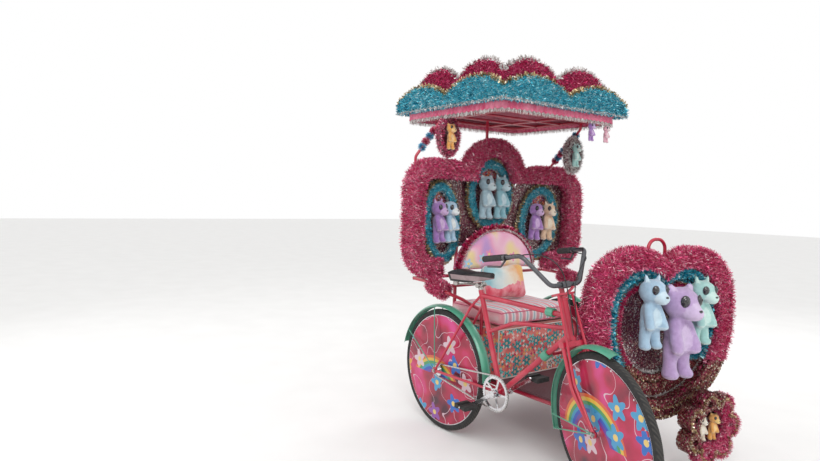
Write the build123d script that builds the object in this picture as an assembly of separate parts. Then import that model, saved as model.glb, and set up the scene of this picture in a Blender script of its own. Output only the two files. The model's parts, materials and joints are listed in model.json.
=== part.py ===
from build123d import *
import math
import os

# A cycle rickshaw of the side-car kind: a roadster bicycle with a decorated two-person side car on its left.
# The model is drawn in the bicycle's frame: X forward, Y to the rider's left, Z up, the origin on the ground
# under the rear axle. Everything is moved at the end so that the origin is under the middle of the whole.

# Wheels
WHEEL_R = 355.0
TYRE_W = 38.0
RIM_R = WHEEL_R - 33.0
RIM_INNER_R = RIM_R - 17.0
RIM_W = 30.0
COVER_T = 2.0
COVER_LAP = 12.5
HUB_R = 17.0
HUB_FLANGE_R = 31.0
HUB_FLANGE_Y = 29.0
HUB_FLANGE_T = 4.0
AXLE_R = 5.0
RUN_GAP = 0.3
NUT_R = 11.0
NUT_L = 9.0

# Bicycle
WHEELBASE = 1158.0
HEAD_ANGLE = 17.5
FORK_RAKE = 106.0
STEER_ANGLE = -16.8
HEAD_LOW_Z = WHEEL_R + 361.0
HEAD_TOP_Z = WHEEL_R + 550.0
HEAD_R = 18.0
STEERER_R = 12.7
CUP_R = 22.0
CUP_H = 10.0
BRACKET_X = 482.0
BRACKET_Z = WHEEL_R - 10.0
BRACKET_R = 22.0
BRACKET_W = 70.0
CLUSTER_X = 311.0
CLUSTER_Z = WHEEL_R + 483.0
SEAT_TUBE_R = 14.3
TOP_TUBE_R = 13.0
TOP_TUBE_HEAD_Z = WHEEL_R + 469.0
MID_TUBE_R = 11.0
MID_TUBE_SEAT_Z = WHEEL_R + 295.0
MID_TUBE_BEND_X = 565.0
MID_TUBE_BEND_Z = WHEEL_R + 376.0
MID_TUBE_HEAD_Z = WHEEL_R + 413.0
DOWN_TUBE_R = 14.3
DOWN_TUBE_HEAD_Z = WHEEL_R + 387.0
STAY_R = 7.5
STAY_WAIST_Y = 25.0
SEAT_STAY_R = 7.0
SEAT_STAY_Y = 43.0
REAR_SPREAD = 64.0
FRONT_SPREAD = 52.0
FORK_TIP_R = 17.0
DROPOUT_T = 5.0
DROPOUT_R = 19.0
EYELET_R = 6.5
EYELET_AT = 27.0
EYELET_BORE_R = 2.6
REAR_EYELET_TURN = -15.0
FRONT_EYELET_TURN = -45.0
# The hitch plate of the side car's rear arm, x and z of its middle, on the left dropout
HITCH = (-20.0, WHEEL_R - 30.0)
HITCH_R = 22.0
PLATE_R = 27.0

# Chain drive
CHAIN_PITCH = 12.7
RING_TEETH = 46
COG_TEETH = 18
CHAIN_LINE = 43.0
SPROCKET_T = 2.4
TOOTH_SLACK = 1.2
CHAIN_W = 8.0
CHAIN_H = 8.5
CRANK_L = 168.0
CRANK_ANGLE = 213.6
CRANK_Y = 62.0
CRANK_T = 12.0
SPINDLE_R = 8.0
PEDAL_L = 88.0
PEDAL_W = 92.0
PEDAL_T = 24.0
PEDAL_GAP = 12.0

# Saddle
SADDLE_REAR_X = 108.0
SADDLE_NOSE_X = 388.0
SADDLE_W = 200.0
SADDLE_TOP_Z = WHEEL_R + 611.0
SADDLE_T = 62.0
SPRING_R = 17.0
SADDLE_POST_R = 12.5

# Mudguards
GUARD_R = WHEEL_R + 30.0
GUARD_W = 62.0
GUARD_T = 2.0
GUARD_CROWN = 14.0
REAR_GUARD_FROM = 2.0
REAR_GUARD_TO = 166.0
SIDE_GUARD_FROM = 10.0
FRONT_GUARD_FROM = 76.0
FRONT_GUARD_TO = 198.0
GUARD_STAY_R = 3.0

# Handlebar, before it is steered
BAR_R = 11.0
BAR_CLAMP_Z = WHEEL_R + 607.0
BAR_FORWARD = 38.0
BAR_CORNER = (WHEELBASE - 355.0, 178.0, WHEEL_R + 762.0)
BAR_END = (WHEELBASE - 642.0, 224.0, WHEEL_R + 719.0)
BAR_FOOT_Y = 78.0
GRIP_R = 16.0
GRIP_L = 150.0
LEVER_R = 5.0

# Side car
MID_Y = 530.0
SIDE_X = 70.0
SIDE_Y = 1010.0
BASE_Z = 292.0
BASE_R = 14.0
BASE_REAR_X = -335.0
BASE_FRONT_X = 900.0
RING_STEP = BASE_R + 0.3
BLOCK_W = 38.0
BOX_FRONT_X = 250.0
BOX_REAR_X = -215.0
BOX_HALF = 330.0
BASE_HALF = BOX_HALF - 18.0
BOX_TOP_Z = 622.0
BOX_T = 9.0
FLOOR_T = 12.0
BOX_BASE_Z = BASE_Z + BASE_R + FLOOR_T + 0.6
SEAT_T = 98.0
SEAT_OVERHANG = 14.0

# Seat back: a middle panel and two wings turned in a little towards the riders
BACK_X = -245.0
WING_TURN = 10.0
HINGE_U = 252.0
BOARD_T = 12.0
BORDER_W = 100.0
BORDER_T = 92.0
BAND_T = 34.0
BAND_W = 42.0
BAND_INSET = 18.0
WING_HALF = 235.0
WING_HIGH = 600.0
WING_MID_Z = 1245.0
WING_CORNER = 150.0
ARCH_R = 215.0
ARCH_MID_Z = 1490.0
CUSHION_T = 95.0
# The back cushion's oval, its middle's height, its half width and half height, and where it is cut off
BACK_PAD = (905.0, 330.0, 276.6)
BACK_PAD_LEVEL = 905.0
CUSHION_GAP = -0.6
PILLOW_SIZE = (105.0, 350.0, 235.0)
PILLOW_LEAN = 14.0
PILLOW_AT = (-33.4, 505.0, 838.8)

# Front board: a heart turned so that the front wheel can steer
HEART_X = 980.0
HEART_Y = 569.0
HEART_TURN = 12.0
HEART_MID_Z = 720.0
# The heart's right half about its middle: dip, lobe, widest point, waist and tip
HEART_POINTS = ((0.0, 345.0), (230.0, 422.0), (472.0, 130.0), (370.0, -255.0), (0.0, -440.0))
HEART_HOLD_U = 200.0
HEART_HOLD_V = 250.0
LOOP_MID_U = 25.0
LOOP_HALF = 58.0
LOOP_TOP = 462.0
LOOP_R = 9.0
FLOWER_STEP = 150.0
FLOWER_SHIFT = 216.0

# Canopy
ROOF_X = -45.0
ROOF_Y = 522.0
ROOF_Z = 1900.0
ROOF_HALF_X = 458.0
ROOF_HALF_Y = 512.0
ROOF_RISE = 95.0
ROOF_T = 6.0
ROOF_LIP = 40.0
ROOF_TOP_SHARE = 0.6
ROOF_CORNER = 70.0
SCALLOPS = 2
TIER_T = 26.0
HIGH_INSET = 70.0
FRAME_R = 11.0
RIM_INSET = 30.0
VALANCE_H = 42.0
VALANCE_INSET = 8.0
VALANCE_T = 6.0
# Side struts: y of the foot behind a wing of the seat back, side of the car, and x of the head under the rim
STRUTS = ((-110.0, -1, -130.0), (1100.0, 1, 130.0))
STRUT_FOOT_Z = 1430.0
STRUT_BEND_Z = 1610.0
STRUT_TOP_Z = 1842.0
# Oval plaques in front of the struts: x of the back, y and z of the middle
PLAQUES = ((-119.0, 68.0, 1735.0), (73.4, 985.0, 1672.0))
PLAQUE_HALF_W = 80.0
PLAQUE_HALF_H = 118.0
PLAQUE_EDGE = 26.0
GARLAND_R = 19.0
GARLAND_FROM = 50.0
GARLAND_TO = 40.0
STRUT_R = 8.8

HEAD_TAN = math.tan(math.radians(HEAD_ANGLE))
HEAD_COS = math.cos(math.radians(HEAD_ANGLE))
HEAD_SIN = math.sin(math.radians(HEAD_ANGLE))
PIVOT_X = WHEELBASE - FORK_RAKE / HEAD_COS
nodes = {}


def head_point(z, forward=0.0, side=0.0):
    """A point beside the steering axis: at height z on it, then forward square to it, then to the left."""
    x = PIVOT_X - (z - WHEEL_R) * HEAD_TAN
    return Vector(x + forward * HEAD_COS, side, z + forward * HEAD_SIN)


HEAD_AXIS = Axis(tuple(head_point(HEAD_LOW_Z)), (-HEAD_SIN, 0, HEAD_COS))


def steered(shape):
    """Turns a shape of the steered assembly from straight ahead to the way it is parked."""
    return shape.rotate(HEAD_AXIS, STEER_ANGLE)


def bent_path(points, bend):
    """Straight runs joined by tangent arcs: an arc takes at most 0.45 of the shorter run beside it."""
    points = [Vector(*point) for point in points]
    edges, start = [], points[0]
    for before, corner, after in zip(points, points[1:], points[2:]):
        way_in, way_out = (corner - before).normalized(), (after - corner).normalized()
        half_turn = math.radians(way_in.get_angle(way_out)) / 2
        room = 0.45 * min((corner - before).length, (after - corner).length)
        reach = min(bend * math.tan(half_turn), room)
        radius = reach / math.tan(half_turn)
        middle = corner + (way_out - way_in).normalized() * (radius / math.cos(half_turn) - radius)
        arc_start, arc_end = corner - way_in * reach, corner + way_out * reach
        edges.append(Edge.make_line(start, arc_start))
        edges.append(Edge.make_three_point_arc(arc_start, middle, arc_end))
        start = arc_end
    edges.append(Edge.make_line(start, points[-1]))
    return Wire(edges)


def rod(points, radius, bend=0.0):
    """A round bar along straight runs joined by bends."""
    path = bent_path(points, bend)
    return sweep(Plane(path @ 0, z_dir=path % 0) * Circle(radius), path=path)


def barrel(start, end, radius):
    """A cylinder between two points."""
    start, end = Vector(*start), Vector(*end)
    length = (end - start).length
    upright = Cylinder(radius, length, align=(Align.CENTER, Align.CENTER, Align.MIN))
    return Plane(start, z_dir=end - start) * upright


def turned(profile):
    """Revolves an outline of (radius, y) points about the Y axis."""
    return revolve(make_face(Polyline(*profile, close=True)), axis=Axis.Y)


def joined(shapes):
    """Fuses a list of shapes."""
    first, rest = shapes[0], shapes[1:]
    return first.fuse(*rest) if rest else first


def at(plane, outline, start, thickness):
    """Extrudes a flat outline from a distance in front of a plane."""
    return extrude(plane.offset(start) * outline, amount=thickness)


def mirror_y(shape):
    """The same shape on the other side of the bicycle's middle plane."""
    return mirror(shape, about=Plane.XZ)


# Wheels
def tyre():
    section_r = TYRE_W / 2
    section = Pos(WHEEL_R - section_r, 0) * Circle(section_r)
    outside = Pos(RIM_R + RUN_GAP + TYRE_W / 2, 0) * Rectangle(TYRE_W, TYRE_W)
    return revolve(section & outside, axis=Axis.Y)


def rim():
    half = RIM_W / 2
    well = (RIM_R - RIM_INNER_R) * 0.4
    return turned([(RIM_R, -half), (RIM_R, half), (RIM_R - well, half), (RIM_INNER_R, half * 0.5),
                   (RIM_INNER_R, -half * 0.5), (RIM_R - well, -half)])


def hub(half, cog=False):
    """The hub with its two flanges, bored for the axle, and the cog on its right end."""
    bore = AXLE_R + RUN_GAP
    flange = HUB_FLANGE_Y - HUB_FLANGE_T
    body = turned([(bore, -half), (HUB_R, -half), (HUB_R, -HUB_FLANGE_Y), (HUB_FLANGE_R, -HUB_FLANGE_Y),
                   (HUB_FLANGE_R, -flange), (HUB_R, -flange), (HUB_R, flange), (HUB_FLANGE_R, flange),
                   (HUB_FLANGE_R, HUB_FLANGE_Y), (HUB_R, HUB_FLANGE_Y), (HUB_R, half), (bore, half)])
    if cog:
        blank = Pos(0, -CHAIN_LINE, 0) * sprocket(COG_TEETH)
        body = body + (blank - Rot(90, 0, 0) * Cylinder(HUB_R - 1, 4 * CHAIN_LINE))
    return body


def pitch_radius(teeth):
    return CHAIN_PITCH / (2 * math.sin(math.pi / teeth))


def sprocket(teeth):
    """A toothed disc in the XZ plane: the spaces between its teeth are round."""
    radius = pitch_radius(teeth)
    roller = CHAIN_PITCH * 0.31
    blank = Circle(radius + TOOTH_SLACK)
    for i in range(teeth):
        blank -= Rot(0, 0, 360 * i / teeth) * Pos(radius + TOOTH_SLACK, 0) * Circle(roller)
    return Rot(90, 0, 0) * extrude(blank, amount=SPROCKET_T / 2, both=True)


def cover():
    """The two printed cover sheets, from the hub's flanges to the rim's sides."""
    flat = RIM_W / 2 + RUN_GAP
    inner = HUB_FLANGE_Y + RUN_GAP
    near = HUB_R + RUN_GAP
    lap = RIM_INNER_R + COVER_LAP
    sheet = turned([(near, inner), (HUB_FLANGE_R, inner), (RIM_INNER_R - 2, flat), (lap, flat),
                    (lap, flat + COVER_T), (RIM_INNER_R - 2, flat + COVER_T), (HUB_FLANGE_R, inner + COVER_T),
                    (near, inner + COVER_T)])
    return Compound([sheet, mirror_y(sheet)])


def axle(spread):
    """A fixed axle with its nuts outside the dropouts."""
    reach = spread + DROPOUT_T + RUN_GAP
    length = reach + NUT_L + 4
    return turned([(0, -length), (AXLE_R, -length), (AXLE_R, -reach - NUT_L), (NUT_R, -reach - NUT_L),
                   (NUT_R, -reach), (AXLE_R, -reach), (AXLE_R, reach), (NUT_R, reach),
                   (NUT_R, reach + NUT_L), (AXLE_R, reach + NUT_L), (AXLE_R, length), (0, length)])


def wheel(name, place, hub_half, cog=False, turn=None):
    parts = {"tyre": tyre(), "rim": Compound([rim(), hub(hub_half, cog)]), "cover": cover()}
    for kind, shape in parts.items():
        shape = place * shape
        nodes[f"{name}_{kind}"] = turn(shape) if turn else shape


wheel("rear", Pos(0, 0, WHEEL_R), REAR_SPREAD - 4, cog=True)
wheel("side", Pos(SIDE_X, SIDE_Y, WHEEL_R), REAR_SPREAD - 4)
wheel("front", Pos(WHEELBASE, 0, WHEEL_R), FRONT_SPREAD - 4, turn=steered)
nodes["front_axle"] = steered(Pos(WHEELBASE, 0, WHEEL_R) * axle(FRONT_SPREAD))
nodes["fixed_axles"] = Compound([Pos(0, 0, WHEEL_R) * axle(REAR_SPREAD),
                                 Pos(SIDE_X, SIDE_Y, WHEEL_R) * axle(REAR_SPREAD)])


# Bicycle frame
def dropout(side, spread, radius=DROPOUT_R):
    """An end plate bored for the axle."""
    disc = Rot(90, 0, 0) * Cylinder(radius, DROPOUT_T)
    bore = Rot(90, 0, 0) * Cylinder(AXLE_R + RUN_GAP / 2, DROPOUT_T * 3)
    return Pos(0, side * (spread + DROPOUT_T / 2), WHEEL_R) * (disc - bore)


def eyelet(turn):
    """A small ear beside an axle plate, bored for a carrier's bolt; turned up from straight back."""
    ear = Rot(90, 0, 0) * Cylinder(EYELET_R, DROPOUT_T)
    ear += Pos(EYELET_R, 0, 0) * Box(2 * EYELET_R, DROPOUT_T, 2 * EYELET_R)
    return Rot(0, turn, 0) * Pos(-EYELET_AT, 0, 0) * ear


def eyelet_bore(turn):
    return Rot(0, turn, 0) * Pos(-EYELET_AT, 0, 0) * Rot(90, 0, 0) * Cylinder(EYELET_BORE_R, DROPOUT_T * 3)


def bicycle_frame():
    bracket = (BRACKET_X, 0, BRACKET_Z)
    cluster = (CLUSTER_X, 0, CLUSTER_Z)
    slope = (CLUSTER_X - BRACKET_X) / (CLUSTER_Z - BRACKET_Z)
    seat_end = (CLUSTER_X + slope * 28, 0, CLUSTER_Z + 28)
    mid_start = (BRACKET_X + slope * (MID_TUBE_SEAT_Z - BRACKET_Z), 0, MID_TUBE_SEAT_Z)
    tubes = [
        rod([bracket, seat_end], SEAT_TUBE_R),
        rod([cluster, tuple(head_point(TOP_TUBE_HEAD_Z))], TOP_TUBE_R),
        rod([mid_start, (MID_TUBE_BEND_X, 0, MID_TUBE_BEND_Z), tuple(head_point(MID_TUBE_HEAD_Z))],
            MID_TUBE_R, 160),
        rod([bracket, tuple(head_point(DOWN_TUBE_HEAD_Z))], DOWN_TUBE_R),
        barrel(head_point(HEAD_LOW_Z), head_point(HEAD_TOP_Z), HEAD_R),
        barrel(head_point(HEAD_LOW_Z), head_point(HEAD_LOW_Z + CUP_H), CUP_R),
        barrel(head_point(HEAD_TOP_Z - CUP_H), head_point(HEAD_TOP_Z), CUP_R),
        Pos(*bracket) * Rot(90, 0, 0) * Cylinder(BRACKET_R, BRACKET_W),
    ]
    for side in (-1, 1):
        stay_y = side * (REAR_SPREAD + DROPOUT_T / 2)
        tubes.append(rod([(BRACKET_X - 8, side * 16, BRACKET_Z),
                          (BRACKET_X - 80, side * STAY_WAIST_Y, BRACKET_Z + 2),
                          (DROPOUT_R * 0.6, stay_y, WHEEL_R)], STAY_R, 60))
        tubes.append(rod([(CLUSTER_X - 2, side * 10, CLUSTER_Z - 4),
                          (CLUSTER_X - 40, side * SEAT_STAY_Y, CLUSTER_Z - 66),
                          (DROPOUT_R * 0.4, stay_y, WHEEL_R + DROPOUT_R * 0.6)], SEAT_STAY_R, 60))
        tubes.append(dropout(side, REAR_SPREAD))
    right_plate = Pos(0, -REAR_SPREAD - DROPOUT_T / 2, WHEEL_R)
    tubes.append(right_plate * eyelet(REAR_EYELET_TURN))
    hitch = Pos(HITCH[0], REAR_SPREAD + DROPOUT_T / 2, HITCH[1])
    tubes.append(hitch * Rot(90, 0, 0) * Cylinder(HITCH_R, DROPOUT_T))
    frame = joined(tubes)
    frame -= barrel(head_point(HEAD_LOW_Z - 20), head_point(HEAD_TOP_Z + 20), STEERER_R + RUN_GAP)
    frame -= Pos(*bracket) * Rot(90, 0, 0) * Cylinder(SPINDLE_R + RUN_GAP, BRACKET_W * 2)
    frame -= rod([cluster, (CLUSTER_X + slope * 60, 0, CLUSTER_Z + 60)], SADDLE_POST_R + 0.15)
    for side in (-1, 1):
        frame -= Pos(0, side * (REAR_SPREAD + DROPOUT_T / 2), WHEEL_R) * Rot(90, 0, 0) * Cylinder(
            AXLE_R + RUN_GAP / 2, DROPOUT_T * 3)
    frame -= Pos(0, 0, WHEEL_R) * Rot(90, 0, 0) * Cylinder(HUB_FLANGE_R, REAR_SPREAD * 2)
    return frame - right_plate * eyelet_bore(REAR_EYELET_TURN)


nodes["bike_frame"] = bicycle_frame()


# Saddle and its post
def saddle():
    """A wide sprung saddle: broad at the back, narrow at the nose, its skirt tucked in below."""
    length = SADDLE_NOSE_X - SADDLE_REAR_X
    half = SADDLE_W / 2
    sections = [(0.00, 0.80, 0.74, -4), (0.12, 1.00, 1.00, 0), (0.45, 0.72, 0.98, -3),
                (0.72, 0.30, 0.80, 2), (1.00, 0.17, 0.52, 4)]
    outlines = []
    for along, wide, deep, rise in sections:
        plane = Plane((SADDLE_REAR_X + along * length, 0, SADDLE_TOP_Z + rise),
                      x_dir=(0, 1, 0), z_dir=(1, 0, 0))
        width, depth = half * wide, SADDLE_T * deep
        edge = Polyline((-width, -depth * 0.34), (-width * 0.86, -depth), (width * 0.86, -depth),
                        (width, -depth * 0.34))
        top = ThreePointArc((width, -depth * 0.34), (0, 0), (-width, -depth * 0.34))
        outlines.append(plane * make_face(edge + top))
    return loft(outlines, ruled=True)


def saddle_post():
    slope = (CLUSTER_X - BRACKET_X) / (CLUSTER_Z - BRACKET_Z)
    top_z = SADDLE_TOP_Z - SADDLE_T - 12
    top = (CLUSTER_X + slope * (top_z - CLUSTER_Z), 0, top_z)
    pieces = [rod([(CLUSTER_X + slope, 0, CLUSTER_Z + 1), top], SADDLE_POST_R),
              Pos(*top) * Rot(90, 0, 0) * Cylinder(14, 46)]
    under = SADDLE_TOP_Z - SADDLE_T * 0.8
    for side in (-1, 1):
        pieces.append(rod([(SADDLE_NOSE_X - 70, side * 12, SADDLE_TOP_Z - SADDLE_T + 6),
                           (top[0] + 40, side * 18, top_z), (top[0] - 60, side * 20, top_z),
                           (SADDLE_REAR_X + 50, side * 52, top_z - 6)], 3.5, 20))
        pieces.append(Pos(SADDLE_REAR_X + 46, side * 52, top_z - 12) * Cylinder(
            SPRING_R, under - top_z + 12, align=(Align.CENTER, Align.CENTER, Align.MIN)))
    return joined(pieces) - Pos(0, 0, -RUN_GAP) * saddle()


nodes["saddle"] = saddle()
nodes["saddle_post"] = saddle_post()


# Mudguards
def mudguard(start, end):
    """A crowned sheet bent round the wheel, from one angle to another, up from straight ahead."""
    half = GUARD_W / 2
    crown = GUARD_R
    edge = GUARD_R - GUARD_CROWN
    outer = ThreePointArc((edge, -half), (crown, 0), (edge, half))
    inner_half = half - GUARD_T * 0.6
    inner = ThreePointArc((edge - GUARD_T, inner_half), (crown - GUARD_T, 0), (edge - GUARD_T, -inner_half))
    section = make_face(outer + Line(outer @ 1, inner @ 0) + inner + Line(inner @ 1, outer @ 0))
    section = Rot(0, -start, 0) * section
    return revolve(section, axis=Axis((0, 0, 0), (0, -1, 0)), revolution_arc=end - start)


def guard_stays(angles, spread, length_in):
    """Thin stays from the axle's ends out to the mudguard's edges."""
    pieces = []
    for angle in angles:
        c, s = math.cos(math.radians(angle)), math.sin(math.radians(angle))
        reach = GUARD_R - GUARD_CROWN - 1
        for side in (-1, 1):
            pieces.append(rod([(length_in * c, side * spread, length_in * s),
                               (reach * c, side * (GUARD_W / 2 - 1), reach * s)], GUARD_STAY_R))
    return pieces


def rear_mudguard():
    stays = guard_stays((100, 150), REAR_SPREAD + DROPOUT_T / 2, DROPOUT_R + 0.5)
    return Pos(0, 0, WHEEL_R) * joined([mudguard(REAR_GUARD_FROM, REAR_GUARD_TO)] + stays)


def side_mudguard():
    stays = guard_stays((30, 90, 150), REAR_SPREAD + DROPOUT_T / 2, PLATE_R + 0.5)
    return Pos(SIDE_X, SIDE_Y, WHEEL_R) * joined([mudguard(SIDE_GUARD_FROM, REAR_GUARD_TO)] + stays)


def front_mudguard():
    stays = guard_stays((186, 197), FRONT_SPREAD + DROPOUT_T / 2, FORK_TIP_R + 0.5)
    guard = joined([mudguard(FRONT_GUARD_FROM, FRONT_GUARD_TO)] + stays)
    return steered(Pos(WHEELBASE, 0, WHEEL_R) * guard)


nodes["rear_mudguard"] = rear_mudguard()
nodes["side_mudguard"] = side_mudguard()
nodes["front_mudguard"] = front_mudguard()


# Steered assembly
CROWN_Z = HEAD_LOW_Z - 16


def fork():
    """Steerer, crown, raked blades and the truss rods from the top of the head down to the blades."""
    axle_x = WHEELBASE
    pieces = [barrel(head_point(CROWN_Z), head_point(HEAD_TOP_Z + 46), STEERER_R),
              barrel(head_point(HEAD_LOW_Z - 14), head_point(HEAD_LOW_Z - 2), CUP_R),
              barrel(head_point(HEAD_TOP_Z + 2), head_point(HEAD_TOP_Z + 12), CUP_R)]
    crown = head_point(CROWN_Z)
    crown_block = Box(40, FRONT_SPREAD * 2 + 22, 24)
    pieces.append(Pos(*crown) * Rot(0, -HEAD_ANGLE, 0) * crown_block)
    bracket = head_point(HEAD_TOP_Z + 18, 4)
    pieces.append(Pos(*bracket) * Rot(0, -HEAD_ANGLE, 0) * Box(52, 96, 10))
    for side in (-1, 1):
        y = side * (FRONT_SPREAD + DROPOUT_T / 2)
        top = tuple(head_point(CROWN_Z, 0, side * FRONT_SPREAD))
        knee = tuple(head_point(CROWN_Z - 200, 6, y))
        pieces.append(rod([top, knee, (axle_x, y, WHEEL_R + 8)], 10, 180))
        upper = tuple(head_point(HEAD_TOP_Z + 18, 22, side * 38))
        level = tuple(head_point(CROWN_Z + 6, 30, side * 48))
        low = tuple(head_point(CROWN_Z - 170, 40, side * (FRONT_SPREAD + 6)))
        pieces.append(rod([upper, level, low, (axle_x, side * (FRONT_SPREAD + 8), WHEEL_R + 14)], 6.5, 70))
        pieces.append(Pos(axle_x, y, WHEEL_R) * Rot(90, 0, 0) * Cylinder(FORK_TIP_R, DROPOUT_T))
    right_tip = Pos(axle_x, -FRONT_SPREAD - DROPOUT_T / 2, WHEEL_R)
    pieces.append(right_tip * eyelet(FRONT_EYELET_TURN))
    shape = joined(pieces) - right_tip * eyelet_bore(FRONT_EYELET_TURN)
    for side in (-1, 1):
        y = side * (FRONT_SPREAD + DROPOUT_T / 2)
        shape -= Pos(axle_x, y, WHEEL_R) * Rot(90, 0, 0) * Cylinder(AXLE_R + RUN_GAP / 2, DROPOUT_T * 6)
        shape -= Pos(axle_x, side * (FRONT_SPREAD + DROPOUT_T + 10), WHEEL_R) * Rot(90, 0, 0) * Cylinder(
            NUT_R + 3, 20)
    shape -= Pos(axle_x, 0, WHEEL_R) * Rot(90, 0, 0) * Cylinder(HUB_FLANGE_R, FRONT_SPREAD * 2)
    return steered(shape)


def bar_path():
    clamp = tuple(head_point(BAR_CLAMP_Z, BAR_FORWARD))
    right = [(clamp[0], -BAR_FOOT_Y, clamp[2]), (BAR_CORNER[0], -BAR_CORNER[1], BAR_CORNER[2]),
             (BAR_END[0], -BAR_END[1], BAR_END[2])]
    left = [(x, -y, z) for x, y, z in right]
    return right[::-1] + left


def handlebar():
    """A swept-back bar on a short forward stem."""
    clamp = head_point(BAR_CLAMP_Z, BAR_FORWARD)
    stem_z = BAR_CLAMP_Z - BAR_FORWARD * HEAD_SIN
    pieces = [rod(bar_path(), BAR_R, 42),
              barrel(head_point(HEAD_TOP_Z + 46 + RUN_GAP), head_point(stem_z + 30), 15),
              barrel(head_point(stem_z + 14), clamp, 13),
              Pos(*clamp) * Rot(90, 0, 0) * Cylinder(BAR_R + 6, 44)]
    return steered(joined(pieces))


def along_bar_end(distance, side):
    """A point on the straight grip run, measured forward from the bar's end."""
    end = Vector(BAR_END[0], side * BAR_END[1], BAR_END[2])
    corner = Vector(BAR_CORNER[0], side * BAR_CORNER[1], BAR_CORNER[2])
    return end + (corner - end).normalized() * distance


def grips():
    sleeves = []
    for side in (-1, 1):
        sleeve = barrel(along_bar_end(-6, side), along_bar_end(GRIP_L, side), GRIP_R)
        bore = barrel(along_bar_end(0, side), along_bar_end(GRIP_L + 9, side), BAR_R + 0.1)
        sleeves.append(sleeve - bore)
    return steered(Compound(sleeves))


def brake_levers():
    """A lever under each grip on its own clamp ring."""
    levers = []
    for side in (-1, 1):
        ring = barrel(along_bar_end(GRIP_L + 6, side), along_bar_end(GRIP_L + 26, side), BAR_R + 5)
        ring -= barrel(along_bar_end(GRIP_L, side), along_bar_end(GRIP_L + 40, side), BAR_R + 0.1)
        low = Vector(0, 0, -1)
        start = along_bar_end(GRIP_L + 16, side) + low * (BAR_R + LEVER_R + 1)
        knee = along_bar_end(GRIP_L - 20, side) + low * 46
        tip = along_bar_end(20, side) + low * 40
        blade = rod([tuple(start), tuple(knee), tuple(tip)], LEVER_R, 20)
        levers.append(ring + blade)
    return steered(Compound(levers))


nodes["fork"] = fork()
nodes["handlebar"] = handlebar()
nodes["grips"] = grips()
nodes["brake_levers"] = brake_levers()


# Crank, pedals and chain
CRANK_COS = math.cos(math.radians(CRANK_ANGLE))
CRANK_SIN = math.sin(math.radians(CRANK_ANGLE))


def crank_end(side):
    """The middle of the pedal's axle on the right (-1) or left (1) crank arm."""
    way = -side
    return Vector(BRACKET_X + way * CRANK_L * CRANK_COS, side * CRANK_Y,
                  BRACKET_Z + way * CRANK_L * CRANK_SIN)


def crankset():
    """Spindle, two arms and the chain ring with its five arms and toothed rim."""
    centre = Pos(BRACKET_X, 0, BRACKET_Z)
    ring_r = pitch_radius(RING_TEETH)
    ring = sprocket(RING_TEETH) - Rot(90, 0, 0) * Cylinder(ring_r - 16, 40)
    spokes = Rot(90, 0, 0) * Cylinder(26, SPROCKET_T)
    for i in range(5):
        spokes += Rot(0, 72 * i, 0) * Pos(ring_r / 2, 0, 0) * Box(ring_r - 12, SPROCKET_T, 12)
    plate = Pos(0, -CHAIN_LINE, 0) * (ring + spokes)
    pieces = [centre * plate, centre * Rot(90, 0, 0) * Cylinder(SPINDLE_R, CRANK_Y * 2)]
    for side in (-1, 1):
        end = crank_end(side)
        hub_at = Vector(BRACKET_X, side * CRANK_Y, BRACKET_Z)
        way = (end - hub_at).normalized()
        middle = hub_at + way * (CRANK_L / 2)
        pitch = -math.degrees(math.atan2(way.Z, way.X))
        pieces.append(Pos(*middle) * Rot(0, pitch, 0) * Box(CRANK_L, CRANK_T, 20))
        pieces.append(Pos(*hub_at) * Rot(90, 0, 0) * Cylinder(19, CRANK_T + 6))
        pieces.append(Pos(*end) * Rot(90, 0, 0) * Cylinder(13, CRANK_T))
        pieces.append(barrel(end, end + Vector(0, side * (PEDAL_GAP + PEDAL_W + 2), 0), 5))
    return joined(pieces)


def pedal(side):
    """A block pedal: two rubber treads between end plates on a sleeve that runs on the crank's pin."""
    start = CRANK_T / 2 + PEDAL_GAP / 2
    middle = side * (start + PEDAL_W / 2)
    pieces = [Pos(0, middle, 0) * Rot(90, 0, 0) * Cylinder(9, PEDAL_W)]
    for way in (-1, 1):
        pieces.append(Pos(way * (PEDAL_L / 2 - 12), middle, 0) * Box(24, PEDAL_W - 4, PEDAL_T))
    for y in (start + 2, start + PEDAL_W - 2):
        pieces.append(Pos(0, side * y, 0) * Box(PEDAL_L - 6, 4, PEDAL_T - 6))
    shape = joined(pieces) - Rot(90, 0, 0) * Cylinder(5 + RUN_GAP, 4 * PEDAL_W)
    return Pos(*crank_end(side)) * shape


def chain():
    """The chain as one fixed loop of constant height round both sprockets."""
    big, small = pitch_radius(RING_TEETH), pitch_radius(COG_TEETH)
    rise = BRACKET_Z - WHEEL_R
    span = math.hypot(BRACKET_X, rise)
    tilt = math.atan2(rise, BRACKET_X)
    lean = math.asin((big - small) / span)

    def loop(extra):
        points = []
        for way in (1, -1):
            angle = tilt + way * (math.pi / 2 + lean)
            for middle_x, middle_z, radius in ((0, WHEEL_R, small + extra),
                                               (BRACKET_X, BRACKET_Z, big + extra)):
                points.append((middle_x + radius * math.cos(angle), middle_z + radius * math.sin(angle)))
        rear_top, front_top, rear_low, front_low = points
        front_mid = (BRACKET_X + (big + extra) * math.cos(tilt), BRACKET_Z + (big + extra) * math.sin(tilt))
        rear_mid = (-(small + extra) * math.cos(tilt), WHEEL_R - (small + extra) * math.sin(tilt))
        return make_face(Line(rear_top, front_top) + ThreePointArc(front_top, front_mid, front_low)
                         + Line(front_low, rear_low) + ThreePointArc(rear_low, rear_mid, rear_top))

    outer = TOOTH_SLACK + 0.5 + CHAIN_H
    band = loop(outer) - loop(TOOTH_SLACK + 0.5)
    return extrude(Plane(origin=(0, -CHAIN_LINE, 0), x_dir=(1, 0, 0), z_dir=(0, -1, 0)) * band,
                   amount=CHAIN_W / 2, both=True)


nodes["crankset"] = crankset()
nodes["pedal_right"] = pedal(-1)
nodes["pedal_left"] = pedal(1)
nodes["chain"] = chain()


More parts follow.
